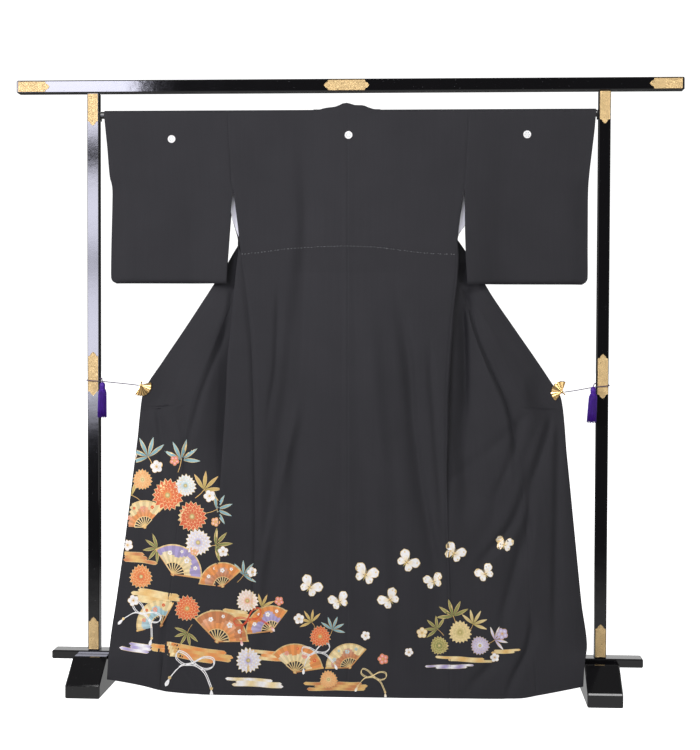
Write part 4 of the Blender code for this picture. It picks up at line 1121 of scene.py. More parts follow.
@once("dyed_and_gilt_silk")
def dyed_silk(name):
    """The hem picture: dyed colours and gold leaf from the piece's own attributes, over the crepe's grain."""
    made = Finish(name, {"Sheen Weight": 0.12, "Specular IOR Level": 0.35})
    dye = made.node("ShaderNodeAttribute", {"attribute_name": "dye"}, {}, "Color")
    gilt = made.node("ShaderNodeAttribute", {"attribute_name": "gilt"}, {}, "Fac")
    place = made.place()
    grain = made.noise(place, 950.0, 2.0, 0.6)
    wash = made.noise(place, 120.0, 3.0, 0.6)
    aged = made.mixed(wash.between(0.35, 0.75) * 0.22, dye, (0.30, 0.16, 0.08, 1.0))
    colour = made.mixed(grain * 0.12, aged, (0.02, 0.02, 0.02, 1.0))
    relief = made.bumped(grain, 0.35, 0.0003)
    return made.worn({"Base Color": colour, "Metallic": gilt * 0.45, "Roughness": 0.62 - gilt * 0.24, "Normal": relief})


@once("white_basting_thread")
def white_thread(name):
    """Soft white basting thread."""
    made = Finish(name, {"Sheen Weight": 0.3})
    place = made.place()
    fibre = made.noise(place, 3200.0, 1.0)
    colour = made.mixed(fibre, (0.70, 0.70, 0.72, 1.0), (0.46, 0.46, 0.49, 1.0))
    return made.worn({"Base Color": colour, "Roughness": 0.7 + fibre * 0.2, "Normal": made.bumped(fibre, 0.3, 0.0002)})


@once("pale_floor")
def floor_paint(name):
    """Matt pale floor that glows a little, so that it stays even."""
    look = bpy.context.scene.kimono_stage
    made = Finish(name, {"Specular IOR Level": 0.15, "Emission Strength": 1.3})
    place = made.place()
    slow = made.noise(place, 0.7, 2.0)
    colour = made.mixed(slow * 0.3, tint(look.floor_colour), tint(look.floor_colour, 0.97))
    return made.worn({"Base Color": colour, "Emission Color": colour, "Roughness": 0.85 + slow * 0.1})


# Colours of the hem picture
GOLD = (0.80, 0.50, 0.17)
PALE_GOLD = (0.88, 0.70, 0.36)
ORANGE = (0.82, 0.30, 0.08)
VERMILION = (0.74, 0.085, 0.03)
TERRACOTTA = (0.60, 0.22, 0.08)
WHITE = (0.90, 0.89, 0.88)
LAVENDER = (0.40, 0.34, 0.60)
TEAL = (0.10, 0.30, 0.36)
PALE_TEAL = (0.34, 0.56, 0.60)
GREEN = (0.09, 0.17, 0.05)
OLIVE = (0.42, 0.36, 0.10)


def polar(radius, angle):
    """A place at a radius and an angle from the X axis."""
    return (radius * math.cos(angle), radius * math.sin(angle))


def upright(radius, angle):
    """A place at a radius and an angle from straight up."""
    return (radius * math.sin(angle), radius * math.cos(angle))


def blend(first, second, share):
    """A colour between two others."""
    return tuple(a + (b - a) * share for a, b in zip(first, second))


def grid_patch(rows, colours, gilt, layer):
    """A patch of the picture from rows of places, with a colour for each row."""
    width = len(rows[0])
    points = [p for row in rows for p in row]
    paints = [colours[i] for i, row in enumerate(rows) for _ in row]
    faces = []
    for i in range(len(rows) - 1):
        for k in range(width - 1):
            a = i * width + k
            faces.append((a, a + 1, a + 1 + width, a + width))
    return points, paints, faces, gilt, layer


def leaf(root, tip, half, root_colour, tip_colour, gilt=0.0, layer=1, steps=6, blunt=0.75):
    """A petal or leaf from root to tip: blunt runs from 0, a lance, to 1, a round petal."""
    dx = tip[0] - root[0]
    dz = tip[1] - root[1]
    length = math.hypot(dx, dz)
    side_x = -dz / length
    side_z = dx / length
    rows = []
    colours = []
    for k in range(steps + 1):
        t = k / steps
        lance = math.sin(math.pi * t) ** 0.9
        rounded = math.sin(math.pi * t**1.7) ** 0.55 if 0 < t < 1 else 0.0
        w = half * max(lance * (1 - blunt) + rounded * blunt, 0.04)
        x = root[0] + dx * t
        z = root[1] + dz * t
        rows.append([(x - side_x * w, z - side_z * w), (x, z), (x + side_x * w, z + side_z * w)])
        colours.append(blend(root_colour, tip_colour, t))
    return grid_patch(rows, colours, gilt, layer)


def disc(centre, radius, colour, rim=None, gilt=0.0, layer=1, sides=14):
    """A round dot that may run into another colour at its rim."""
    points = [centre]
    paints = [colour]
    for share in (0.55, 1.0):
        for k in range(sides):
            a = math.tau * k / sides
            points.append((centre[0] + radius * share * math.cos(a), centre[1] + radius * share * math.sin(a)))
            paints.append(blend(colour, rim or colour, share))
    faces = []
    for k in range(sides):
        n = (k + 1) % sides
        faces.append((0, 1 + k, 1 + n))
        faces.append((1 + k, 1 + sides + k, 1 + sides + n, 1 + n))
    return points, paints, faces, gilt, layer


def strip(path, widths, colours, gilt=0.0, layer=1):
    """A band along a path, with a half width and a colour for each place."""
    rows = []
    for i, (x, z) in enumerate(path):
        before = path[max(i - 1, 0)]
        after = path[min(i + 1, len(path) - 1)]
        dx = after[0] - before[0]
        dz = after[1] - before[1]
        length = math.hypot(dx, dz) or 1.0
        w = widths[i]
        rows.append([(x + dz / length * w, z - dx / length * w), (x - dz / length * w, z + dx / length * w)])
    return grid_patch(rows, colours, gilt, layer)


def eased_path(points, count):
    """A smooth curve through points, with this many places from one to the next."""
    chain = [Vector(p) for p in points]
    chain = [chain[0] * 2 - chain[1]] + chain + [chain[-1] * 2 - chain[-2]]
    made = []
    for i in range(1, len(chain) - 2):
        made += [smooth_step(*chain[i - 1 : i + 3], k / count) for k in range(count)]
    return made + [chain[-2]]


def line(points, half, colour, gilt=0.6, layer=1, count=6):
    """A slim line of one width and colour, curved through points."""
    path = [(p.x, p.y) for p in eased_path([(x, z, 0.0) for x, z in points], count)]
    return strip(path, [half] * len(path), [colour] * len(path), gilt, layer)


def sector(r0, r1, a0, a1, colour, rim, gilt=0.0, layer=1, rings=3, cells=1):
    """A part of a ring between two radii and two angles, which are in degrees from straight up."""
    rows = []
    colours = []
    for i in range(rings + 1):
        r = r0 + (r1 - r0) * i / rings
        row = []
        for k in range(cells + 1):
            a = math.radians(a0 + (a1 - a0) * k / cells)
            row.append(upright(r, a))
        rows.append(row)
        colours.append(blend(colour, rim, i / rings))
    return grid_patch(rows, colours, gilt, layer)


def folding_fan(ground, second, accent, spread=132.0, folds=16):
    """An open folding fan of unit radius with its pivot at the middle: pleated leaf, gold border, slim sticks."""
    made = []
    step = spread / folds
    for k in range(folds):
        a0 = -spread / 2 + step * k
        shade = 1.0 if k % 2 else 0.80
        high = 0.5 + 0.5 * math.sin(k * 0.75 + 0.6)
        edge = 0.58 + 0.22 * high
        inner = blend(ground, WHITE, 0.25 * high)
        a1 = a0 + step
        made.append(sector(0.40, edge, a0, a1, tint(ground, shade)[:3], tint(inner, shade)[:3], 0.15, 2, 3))
        made.append(sector(edge, 0.955, a0, a1, tint(second, shade)[:3], tint(second, shade)[:3], 0.05, 2, 3))
        made.append(sector(0.955, 1.0, a0, a1, tint(GOLD, shade)[:3], tint(PALE_GOLD, shade)[:3], 0.9, 2, 1))
        made.append(sector(0.385, 0.41, a0, a1, GOLD, PALE_GOLD, 0.9, 3, 1))
    for k in range(folds // 2 + 1):
        a = math.radians(-spread / 2 + 2 * step * k)
        made.append(strip([upright(-0.05, a), upright(0.40, a)], [0.012, 0.018], [GOLD, PALE_GOLD], 0.8, 1))
    for a, r, size in ((-38, 0.72, 0.085), (-8, 0.82, 0.06), (16, 0.66, 0.10), (44, 0.80, 0.075)):
        heart = accent if size < 0.08 else WHITE
        made += moved(plum(accent, heart), *upright(r, math.radians(a)), a * 2.0, size, 2)
    for side in (-1, 1):
        a = math.radians(side * spread / 2)
        made.append(strip([upright(-0.07, a), upright(1.02, a)], [0.020, 0.030], [TERRACOTTA, GOLD], 0.7, 4))
    made.append(disc((0.0, 0.0), 0.05, PALE_GOLD, GOLD, 0.9, 5, 10))
    return made


def chrysanthemum(outer, inner, petals=18):
    """A many-petalled flower of unit radius: three rounds of petals, each edged in gold."""
    made = []
    rounds = ((1.00, 0.155, petals, 0.0, 1), (0.76, 0.125, petals - 3, 0.5, 3), (0.50, 0.100, petals - 7, 0.2, 5))
    for reach, half, count, shift, layer in rounds:
        for k in range(count):
            a = math.tau * (k + shift) / count
            r = reach * (1.0 - 0.05 * math.sin(3.0 * a + shift * 4))
            root = polar(0.12, a)
            made.append(leaf(root, polar(r * 1.035, a), half * 1.22, GOLD, PALE_GOLD, 0.8, layer, 4, 0.8))
            made.append(leaf(root, polar(r, a), half, inner, outer, 0.0, layer + 1, 4, 0.8))
    made.append(disc((0.0, 0.0), 0.17, PALE_GOLD, OLIVE, 0.5, 8, 10))
    return made


def plum(colour, heart=WHITE):
    """A five-petalled blossom of unit radius with gold stamens."""
    made = []
    for k in range(5):
        a = math.radians(90 + 72 * k)
        at = polar(0.56, a)
        made.append(disc(at, 0.455, PALE_GOLD, GOLD, 0.8, 1, 10))
        made.append(disc(at, 0.400, blend(heart, colour, 0.35), colour, 0.0, 2, 10))
    for k in range(10):
        a = math.radians(36 * k + 18)
        end = polar(0.46 if k % 2 else 0.36, a)
        made.append(strip([(0.0, 0.0), end], [0.02, 0.02], [GOLD, GOLD], 0.8, 3))
        made.append(disc(end, 0.055, PALE_GOLD, GOLD, 0.8, 4, 5))
    made.append(disc((0.0, 0.0), 0.13, OLIVE, GOLD, 0.4, 4, 7))
    return made


def bamboo(colour, tip_colour, leaves=5):
    """A spray of bamboo leaves of unit length on a slim twig."""
    made = [line([(0.0, -0.55), (0.03, -0.2), (0.0, 0.12)], 0.014, GOLD, 0.7, 1, 4)]
    for k in range(leaves):
        a = math.radians(-78 + 156 * k / (leaves - 1))
        reach = 0.98 - 0.22 * abs(k - (leaves - 1) / 2) / leaves
        root = (0.02 * math.sin(a), 0.10 - 0.05 * abs(math.sin(a)))
        tip = (root[0] + reach * math.sin(a), root[1] + reach * math.cos(a) * 0.92)
        made.append(leaf(root, tip, 0.095, GOLD, PALE_GOLD, 0.8, 1, 6, 0.0))
        made.append(leaf(root, tip, 0.072, colour, tip_colour, 0.05, 2, 6, 0.0))
    return made


def butterfly(wing=WHITE, edge=PALE_GOLD):
    """A butterfly of unit half span, seen from above with its wings spread."""
    made = []
    for side in (-1, 1):
        for angle, reach, half, layer in ((52, 1.0, 0.34, 3), (118, 0.68, 0.27, 1)):
            a = math.radians(angle)
            root = (side * 0.03, 0.04 if layer == 3 else -0.04)
            tip = (side * reach * math.sin(a), reach * math.cos(a))
            rim = (tip[0] * 1.05, tip[1] * 1.05)
            made.append(leaf(root, rim, half * 1.12, GOLD, PALE_GOLD, 0.8, layer, 6, 0.9))
            made.append(leaf(root, tip, half, wing, wing, 0.0, layer + 1, 6, 0.9))
            inner = (tip[0] * 0.62, tip[1] * 0.62)
            made.append(leaf(root, inner, half * 0.5, edge, wing, 0.0, layer + 2, 5, 0.7))
            made.append(disc((tip[0] * 0.80, tip[1] * 0.80), 0.07, edge, edge, 0.2, layer + 2, 8))
    made.append(leaf((0.0, -0.42), (0.0, 0.26), 0.055, OLIVE, GOLD, 0.6, 7, 6, 0.4))
    for side in (-1, 1):
        path = [(0.0, 0.22), (side * 0.10, 0.44), (side * 0.24, 0.58)]
        made.append(line(path, 0.010, PALE_GOLD, 0.8, 6, 4))
    return made


def mist(length, bars, seed, colour, rim):
    """Long drifting bands of gold mist: rounded bars of unit height that slip past one another."""
    made = []
    for b in range(bars):
        z = b - (bars - 1) / 2
        drift = math.sin(seed * 2.1 + b * 1.9)
        low = -length / 2 * (0.74 + 0.26 * math.cos(seed + b * 2.3)) + drift * 1.2
        high = length / 2 * (0.74 + 0.26 * math.sin(seed * 1.7 + b * 1.3)) + drift * 1.2
        count = max(int((high - low) * 1.6), 8)
        path = []
        widths = []
        for k in range(count + 1):
            t = k / count
            end = min(t, 1 - t) * (high - low) / 0.62
            x = low + (high - low) * t
            path.append((x, z * 0.92 + 0.10 * math.sin(x * 0.5 + seed)))
            widths.append(0.46 * math.sqrt(max(1 - (1 - min(end, 1.0)) ** 2, 0.012)))
        shade = [blend(colour, rim, 0.5 + 0.5 * math.sin(k * 0.55 + b + seed)) for k in range(count + 1)]
        made.append(strip(path, [w * 1.18 for w in widths], [PALE_GOLD] * len(path), 0.9, 0))
        made.append(strip(path, widths, shade, 0.45, 1))
    return made


def silk_cord_loop(colour):
    """A loose bow of twin cords that ends in two small tassels, about two units across."""
    made = []
    for shift in (-0.035, 0.035):
        path = [(-0.95, -0.75), (-0.62, -0.20), (-0.15, 0.05), (0.32, 0.42), (0.74, 0.44), (0.80, 0.12)]
        path += [(0.45, -0.08), (0.0, 0.04), (-0.44, 0.36), (-0.84, 0.42), (-0.88, 0.10), (-0.48, -0.08)]
        path += [(0.0, 0.0), (0.50, -0.22), (0.92, -0.80)]
        made.append(line([(x + shift * 0.4, z + shift) for x, z in path], 0.019, colour, 0.25, 6, 5))
    for x, z, lean in ((-0.97, -0.79, -0.3), (0.94, -0.84, 0.3)):
        made.append(disc((x, z), 0.075, GOLD, PALE_GOLD, 0.8, 7, 8))
        made.append(leaf((x, z - 0.02), (x + lean * 0.35, z - 0.42), 0.085, colour, WHITE, 0.0, 6, 5, 0.9))
    return made


def moved(shapes, x, z, turn, size, up=0):
    """A motif at its place on the back, turned anticlockwise, and raised by some layers."""
    c = math.cos(math.radians(turn)) * size
    s = math.sin(math.radians(turn)) * size
    made = []
    for points, paints, faces, gilt, layer in shapes:
        placed = [(x + u * c - v * s, z + u * s + v * c) for u, v in points]
        made.append((placed, paints, faces, gilt, layer + up))
    return made


# Height of the picture's lowest layer over the cloth, step from layer to layer, thickness of a layer
LAYER_LOW = 0.00022
LAYER_STEP = 0.00005
LAYER_WALL = 0.00018
# A face is left out where the cloth under it falls away by more than this and this share of its size
JUMP = 0.0015
JUMP_SHARE = 0.35
TOWARD_CLOTH = Vector((0.0, 1.0, 0.0))


def on_cloth(tree, x, z):
    """The cloth's nearest place to the camera at X and Z, with its normal."""
    return tree.ray_cast(Vector((x, -1.0, z)), TOWARD_CLOTH)[:2]


def laid_on_cloth(name, shapes, tree, paint):
    """Lays flat shapes on the cloth that faces the camera; a shape stops where a fold or an edge cuts it."""
    bm = bmesh.new()
    dye = bm.loops.layers.float_color.new("dye")
    leafing = bm.loops.layers.float_color.new("gilt")
    for points, paints, faces, gilt, layer in shapes:
        found = []
        for x, z in points:
            place, normal = on_cloth(tree, x, z)
            if place is None:
                found.append(None)
                continue
            if normal.y > 0:
                normal = -normal
            found.append(bm.verts.new(place + normal * (LAYER_LOW + LAYER_STEP * layer)))
        for face in faces:
            corners = [found[i] for i in face]
            if not all(corners):
                continue
            depths = [v.co.y for v in corners]
            spread = max((a.co - b.co).length for a in corners for b in corners)
            if max(depths) - min(depths) > JUMP + JUMP_SHARE * spread:
                continue
            if len({tuple(round(c, 6) for c in v.co) for v in corners}) < len(corners):
                continue
            made = bm.faces.new(corners)
            made.normal_update()
            if made.normal.y > 0:
                made.normal_flip()
            for loop in made.loops:
                k = found.index(loop.vert)
                loop[dye] = (*paints[k], 1.0)
                loop[leafing] = (gilt, gilt, gilt, 1.0)
    loose = [v for v in bm.verts if not v.link_faces]
    bmesh.ops.delete(bm, geom=loose, context="VERTS")
    made = walled(finished(name, bm, paint, smooth=False, outward=False), LAYER_WALL, -1.0)
    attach(made, "root")


# The hem picture's motifs: X, Z, turn in degrees and size of each, then its colours
FANS = [
    (-0.552, 0.455, 24.0, 0.074, ORANGE, PALE_GOLD, VERMILION),
    (-0.47, 0.33, -30.0, 0.082, PALE_GOLD, LAVENDER, WHITE),
    (-0.33, 0.3, 18.0, 0.066, TERRACOTTA, ORANGE, WHITE),
    (-0.5, 0.19, 38.0, 0.07, PALE_TEAL, PALE_GOLD, VERMILION),
    (-0.345, 0.15, -22.0, 0.086, ORANGE, TERRACOTTA, WHITE),
    (-0.195, 0.18, 30.0, 0.07, LAVENDER, ORANGE, WHITE),
    (-0.13, 0.07, -14.0, 0.078, PALE_GOLD, ORANGE, VERMILION),
    (0.02, 0.085, 26.0, 0.066, TERRACOTTA, PALE_GOLD, PALE_TEAL),
]
FLOWERS = [
    (-0.488, 0.545, 0.0, 0.043, VERMILION, ORANGE),
    (-0.418, 0.488, 15.0, 0.04, VERMILION, TERRACOTTA),
    (-0.438, 0.572, 8.0, 0.03, WHITE, PALE_TEAL),
    (-0.4, 0.418, 25.0, 0.036, WHITE, LAVENDER),
    (-0.562, 0.585, 12.0, 0.028, ORANGE, PALE_GOLD),
    (-0.56, 0.32, 5.0, 0.032, ORANGE, VERMILION),
    (-0.262, 0.262, 18.0, 0.03, WHITE, ORANGE),
    (-0.428, 0.238, 9.0, 0.034, VERMILION, ORANGE),
    (-0.258, 0.1, 22.0, 0.034, WHITE, LAVENDER),
    (-0.062, 0.168, 6.0, 0.028, VERMILION, ORANGE),
    (-0.038, 0.052, 14.0, 0.024, ORANGE, PALE_GOLD),
    (0.318, 0.185, 10.0, 0.03, PALE_GOLD, OLIVE),
    (0.372, 0.15, 30.0, 0.025, LAVENDER, WHITE),
    (0.262, 0.148, 20.0, 0.024, OLIVE, GREEN),
]
BLOSSOMS = [
    (-0.522, 0.622, 10.0, 0.018, WHITE),
    (-0.47, 0.64, 40.0, 0.014, VERMILION),
    (-0.592, 0.648, 0.0, 0.013, WHITE),
    (-0.37, 0.545, 22.0, 0.017, WHITE),
    (-0.352, 0.475, 50.0, 0.013, ORANGE),
    (-0.33, 0.395, 5.0, 0.015, WHITE),
    (-0.6, 0.405, 30.0, 0.016, WHITE),
    (-0.25, 0.34, 12.0, 0.014, WHITE),
    (-0.58, 0.255, 18.0, 0.016, WHITE),
    (-0.41, 0.395, 60.0, 0.013, ORANGE),
    (-0.175, 0.262, 33.0, 0.013, VERMILION),
    (-0.12, 0.215, 8.0, 0.015, WHITE),
    (0.062, 0.172, 25.0, 0.013, WHITE),
    (0.11, 0.11, 15.0, 0.015, VERMILION),
    (0.215, 0.182, 0.0, 0.015, PALE_GOLD),
    (0.432, 0.182, 28.0, 0.016, LAVENDER),
    (0.412, 0.118, 11.0, 0.013, WHITE),
    (0.18, 0.13, 44.0, 0.012, WHITE),
]
LEAVES = [
    (-0.545, 0.645, 28.0, 0.062, TEAL, PALE_TEAL),
    (-0.452, 0.64, -14.0, 0.06, TEAL, PALE_TEAL),
    (-0.388, 0.56, -46.0, 0.056, OLIVE, GOLD),
    (-0.352, 0.508, -70.0, 0.05, TEAL, PALE_TEAL),
    (-0.59, 0.54, 62.0, 0.048, OLIVE, GOLD),
    (-0.355, 0.412, -84.0, 0.052, GREEN, OLIVE),
    (-0.512, 0.4, 100.0, 0.046, GREEN, OLIVE),
    (-0.275, 0.33, -40.0, 0.044, TEAL, PALE_TEAL),
    (-0.225, 0.245, -66.0, 0.04, OLIVE, GOLD),
    (-0.425, 0.175, 150.0, 0.042, GREEN, OLIVE),
    (-0.03, 0.185, -22.0, 0.04, TEAL, PALE_TEAL),
    (-0.085, 0.205, 34.0, 0.038, OLIVE, GOLD),
    (0.3, 0.225, 16.0, 0.05, GREEN, OLIVE),
    (0.352, 0.205, -30.0, 0.044, OLIVE, PALE_GOLD),
    (0.258, 0.19, 48.0, 0.04, GREEN, OLIVE),
    (0.41, 0.165, -60.0, 0.04, LAVENDER, WHITE),
]
BUTTERFLIES = [
    (-0.092, 0.3, -34.0, 0.036),
    (-0.01, 0.262, 22.0, 0.032),
    (0.06, 0.335, -20.0, 0.038),
    (0.128, 0.27, 38.0, 0.034),
    (0.172, 0.372, -42.0, 0.036),
    (0.246, 0.318, 16.0, 0.03),
    (0.3, 0.396, -28.0, 0.034),
    (0.386, 0.342, 30.0, 0.03),
    (0.436, 0.42, -12.0, 0.028),
]
# X, Z, turn, height of one bar, length in bars, bars, seed, colour, edge colour of a drift of mist
MISTS = [
    (-0.575, 0.372, -4.0, 0.0095, 11.0, 3, 1.0, GOLD, TERRACOTTA),
    (-0.52, 0.265, -6.0, 0.01, 16.0, 4, 2.4, PALE_GOLD, GOLD),
    (-0.42, 0.118, -8.0, 0.01, 26.0, 4, 3.1, GOLD, ORANGE),
    (-0.3, 0.225, -5.0, 0.009, 13.0, 3, 4.2, PALE_GOLD, GOLD),
    (-0.56, 0.128, -8.0, 0.0085, 12.0, 3, 5.7, WHITE, LAVENDER),
    (-0.18, 0.112, -4.0, 0.009, 20.0, 3, 6.3, PALE_GOLD, ORANGE),
    (-0.02, 0.034, 1.0, 0.008, 24.0, 3, 7.9, GOLD, TERRACOTTA),
    (-0.24, 0.04, -2.0, 0.008, 22.0, 3, 8.4, WHITE, PALE_GOLD),
    (0.33, 0.112, -2.0, 0.0065, 30.0, 2, 9.2, PALE_GOLD, GOLD),
    (0.3, 0.092, 2.0, 0.0055, 26.0, 2, 10.6, WHITE, LAVENDER),
    (0.44, 0.135, 3.0, 0.0055, 14.0, 2, 11.3, GOLD, PALE_GOLD),
]
# X, Z, turn, size and colour of a loose cord with tassels
CORD_LOOPS = [
    (-0.405, 0.085, -12.0, 0.062, WHITE),
    (-0.255, 0.21, 26.0, 0.046, VERMILION),
    (-0.545, 0.215, -30.0, 0.05, WHITE),
    (-0.07, 0.125, 10.0, 0.044, WHITE),
    (0.085, 0.06, -10.0, 0.04, PALE_GOLD),
]
# Pieces of the hem picture: the motifs of each, their places and the layers they are raised by
HEM_PICTURE = (
    ("hem_mist", ((mist, MISTS, 0),)),
    ("hem_leaves", ((bamboo, LEAVES, 3),)),
    ("hem_fans", ((folding_fan, FANS, 6),)),
    ("hem_cords", ((silk_cord_loop, CORD_LOOPS, 8),)),
    ("hem_flowers", ((chrysanthemum, FLOWERS, 16), (plum, BLOSSOMS, 18))),
    ("hem_butterflies", ((butterfly, BUTTERFLIES, 2),)),
)
# X and Z along the basting line
BASTING = chart(
    (-0.296, 1.2085), (-0.23, 1.215), (-0.166, 1.2235), (-0.098, 1.229), (0.007, 1.232),
    (0.081, 1.229), (0.149, 1.221), (0.217, 1.213), (0.262, 1.2105), (0.302, 1.2095),
)
# Length of a stitch and of the gap after it, before they vary, and its radius
STITCH = 0.0027
STITCH_GAP = 0.0064
STITCH_RADIUS = 0.00026
# X and Z of the roundels, and their radius
CRESTS = ((-0.484, 1.528), (0.006, 1.537), (0.494, 1.537))
CREST_RADIUS = 0.0106

# Height share on the key light, brightness there
KEY_CLOTH = (
    (0.0, 0.05), (0.03, 0.27), (0.064, 0.52), (0.16, 1.0), (0.25, 1.0), (0.35, 0.92), (0.435, 0.5), (0.49, 0.95),
    (0.56, 1.05), (0.63, 0.95), (0.665, 0.5), (0.69, 0.0), (0.715, 0.0), (0.75, 0.9), (0.8, 1.25), (1.0, 1.6),
)


class ClothSettings(bpy.types.PropertyGroup):
    """Sizes and colour of the garment's cloth."""

    wall: FloatProperty(
        name="Cloth thickness", description="Thickness of the lined silk", default=0.0012, unit="LENGTH"
    )
    collar_wall: FloatProperty(
        name="Collar thickness", description="Thickness of the folded collar", default=0.0026, unit="LENGTH"
    )
    row_step: FloatProperty(
        name="Row height", description="Height of one row of the cloth's mesh", default=0.0095, unit="LENGTH"
    )
    columns: IntProperty(name="Columns", description="Columns across a body length beside the neck", default=60)
    sleeve_columns: IntProperty(name="Sleeve columns", description="Columns across a sleeve", default=34)
    crepe_pitch: FloatProperty(
        name="Crepe pitch", description="Spacing of the crepe's pebbles", default=0.0011, unit="LENGTH"
    )
    sheen: FloatProperty(name="Sheen", description="Soft shine at glancing angles", default=0.05, subtype="FACTOR")
    colour: FloatVectorProperty(
        name="Cloth colour", description="Colour of the black silk", default=(0.0242, 0.0234, 0.0268), subtype="COLOR"
    )


class StandSettings(bpy.types.PropertyGroup):
    """Finish of the stand and its fittings."""

    lacquer_colour: FloatVectorProperty(
        name="Lacquer colour", description="Colour under the gloss", default=(0.0045, 0.0042, 0.0050), subtype="COLOR"
    )
    lacquer_roughness: FloatProperty(
        name="Lacquer roughness", description="0 is a mirror", default=0.05, subtype="FACTOR"
    )
    gold_colour: FloatVectorProperty(
        name="Gold colour", description="Colour of the plates and clips", default=(0.93, 0.67, 0.32), subtype="COLOR"
    )
    tassel_colour: FloatVectorProperty(
        name="Tassel colour", description="Colour of the silk tassels", default=(0.080, 0.003, 0.400), subtype="COLOR"
    )
    cord_colour: FloatVectorProperty(
        name="Cord colour", description="Colour of the thin cords", default=(0.10, 0.07, 0.15), subtype="COLOR"
    )


class StageSettings(bpy.types.PropertyGroup):
    """Floor, light and camera."""

    floor_colour: FloatVectorProperty(
        name="Floor colour", description="Colour of the pale floor", default=(0.93, 0.93, 0.93), subtype="COLOR"
    )
    lens: FloatProperty(name="Lens", description="Focal length in millimetres on a 36 mm sensor", default=74.35)
    camera_place: FloatVectorProperty(
        name="Camera place", description="Where the camera stands", default=(0.2636, -4.2748, 1.0108), subtype="XYZ"
    )
    camera_aim: FloatVectorProperty(
        name="Camera aim", description="Yaw, pitch and roll in degrees", default=(3.375, -1.780, 0.200)
    )
    key_power: FloatProperty(
        name="Key light", description="Power of the large light at the left", default=66, unit="POWER"
    )
    side_power: FloatProperty(
        name="Side light", description="Power of the light that models the folds", default=140, unit="POWER"
    )
    fill_power: FloatProperty(
        name="Fill light", description="Power of the light at the right", default=46, unit="POWER"
    )
    top_power: FloatProperty(name="Top light", description="Power of the light above", default=72, unit="POWER")
    sky: FloatProperty(
        name="Room light", description="Strength of the white room at the sides", default=0.55, subtype="FACTOR"
    )


def coated(name, paint):
    """Gives one solid of the frame its finish."""
    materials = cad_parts[name].data.materials
    materials.clear()
    materials.append(paint)


class KIMONO_OT_lacquer_stand(bpy.types.Operator):
    """Gives the beam, posts, feet, rail, rod and sockets their black lacquer"""

    bl_idname = "kimono.lacquer_stand"
    bl_label = "Lacquer the Stand"

    def execute(self, context):
        pairs = [f"{piece}_{word}" for piece in ("post", "foot", "socket") for _, word in SIDES]
        for name in ["beam", "rail", "rod"] + pairs:
            coated(name, lacquer())
        return {"FINISHED"}


class KIMONO_OT_gild_plates(bpy.types.Operator):
    """Gives the stand's plates their engraved gold"""

    bl_idname = "kimono.gild_plates"
    bl_label = "Gild the Plates"

    def execute(self, context):
        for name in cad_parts:
            if name.startswith("plate_"):
                coated(name, engraved_gold())
        return {"FINISHED"}


class KIMONO_OT_hang_body(bpy.types.Operator):
    """Hangs the two body lengths over the rod, back panel, shoulder and front in one"""

    bl_idname = "kimono.hang_body"
    bl_label = "Hang the Body"

    def execute(self, context):
        for side, word in SIDES:
            made = make_body(side, f"body_cloth_{word}", context.scene.kimono_cloth)
            hung(made, [f"back_{word}", f"shoulder_{word}", f"front_{word}"])
        return {"FINISHED"}


class KIMONO_OT_hang_overlaps(bpy.types.Operator):
    """Hangs the overlap panel of each front"""

    bl_idname = "kimono.hang_overlaps"
    bl_label = "Hang the Overlaps"

    def execute(self, context):
        for side, word in SIDES:
            made = make_okumi(side, f"okumi_cloth_{word}", context.scene.kimono_cloth)
            hung(made, [f"okumi_{word}"])
        return {"FINISHED"}


class KIMONO_OT_hang_sleeves(bpy.types.Operator):
    """Hangs both sleeves over the rod"""

    bl_idname = "kimono.hang_sleeves"
    bl_label = "Hang the Sleeves"

    def execute(self, context):
        for side, word in SIDES:
            made = make_sleeve(side, f"sleeve_cloth_{word}", context.scene.kimono_cloth)
            hung(made, [f"sleeve_{word}"])
        return {"FINISHED"}


class KIMONO_OT_fold_collar(bpy.types.Operator):
    """Folds the collar over the nape and down both fronts"""

    bl_idname = "kimono.fold_collar"
    bl_label = "Fold the Collar"

    def execute(self, context):
        made = make_collar(context.scene.kimono_cloth)
        hung(made, ["collar"])
        return {"FINISHED"}


class KIMONO_OT_show_lining(bpy.types.Operator):
    """Lays the white lining that shows in the open side slits"""

    bl_idname = "kimono.show_lining"
    bl_label = "Show the Lining"

    def execute(self, context):
        for side, word in SIDES:
            made = make_lining(side, f"lining_cloth_{word}")
            hung(made, [f"lining_{word}"])
        return {"FINISHED"}


def outer_cloth():
    """One search tree over the faces of all the black cloth."""
    names = [f"{piece}_cloth_{word}" for piece in ("body", "okumi", "sleeve") for _, word in SIDES]
    verts = []
    faces = []
    for name in names + ["collar_cloth"]:
        mesh = bpy.data.objects[name].data
        base = len(verts)
        verts += [v.co.copy() for v in mesh.vertices]
        faces += [[base + i for i in face.vertices] for face in mesh.polygons]
    return BVHTree.FromPolygons(verts, faces)


def closed_tube(bm, rings):
    """Joins rings of places to a tube with both ends shut."""
    rings = [[bm.verts.new(place) for place in ring] for ring in rings]
    for low, high in zip(rings[:-1], rings[1:]):
        for k in range(len(low)):
            n = (k + 1) % len(low)
            bm.faces.new((low[k], low[n], high[n], high[k]))
    bm.faces.new(list(reversed(rings[0])))
    bm.faces.new(rings[-1])


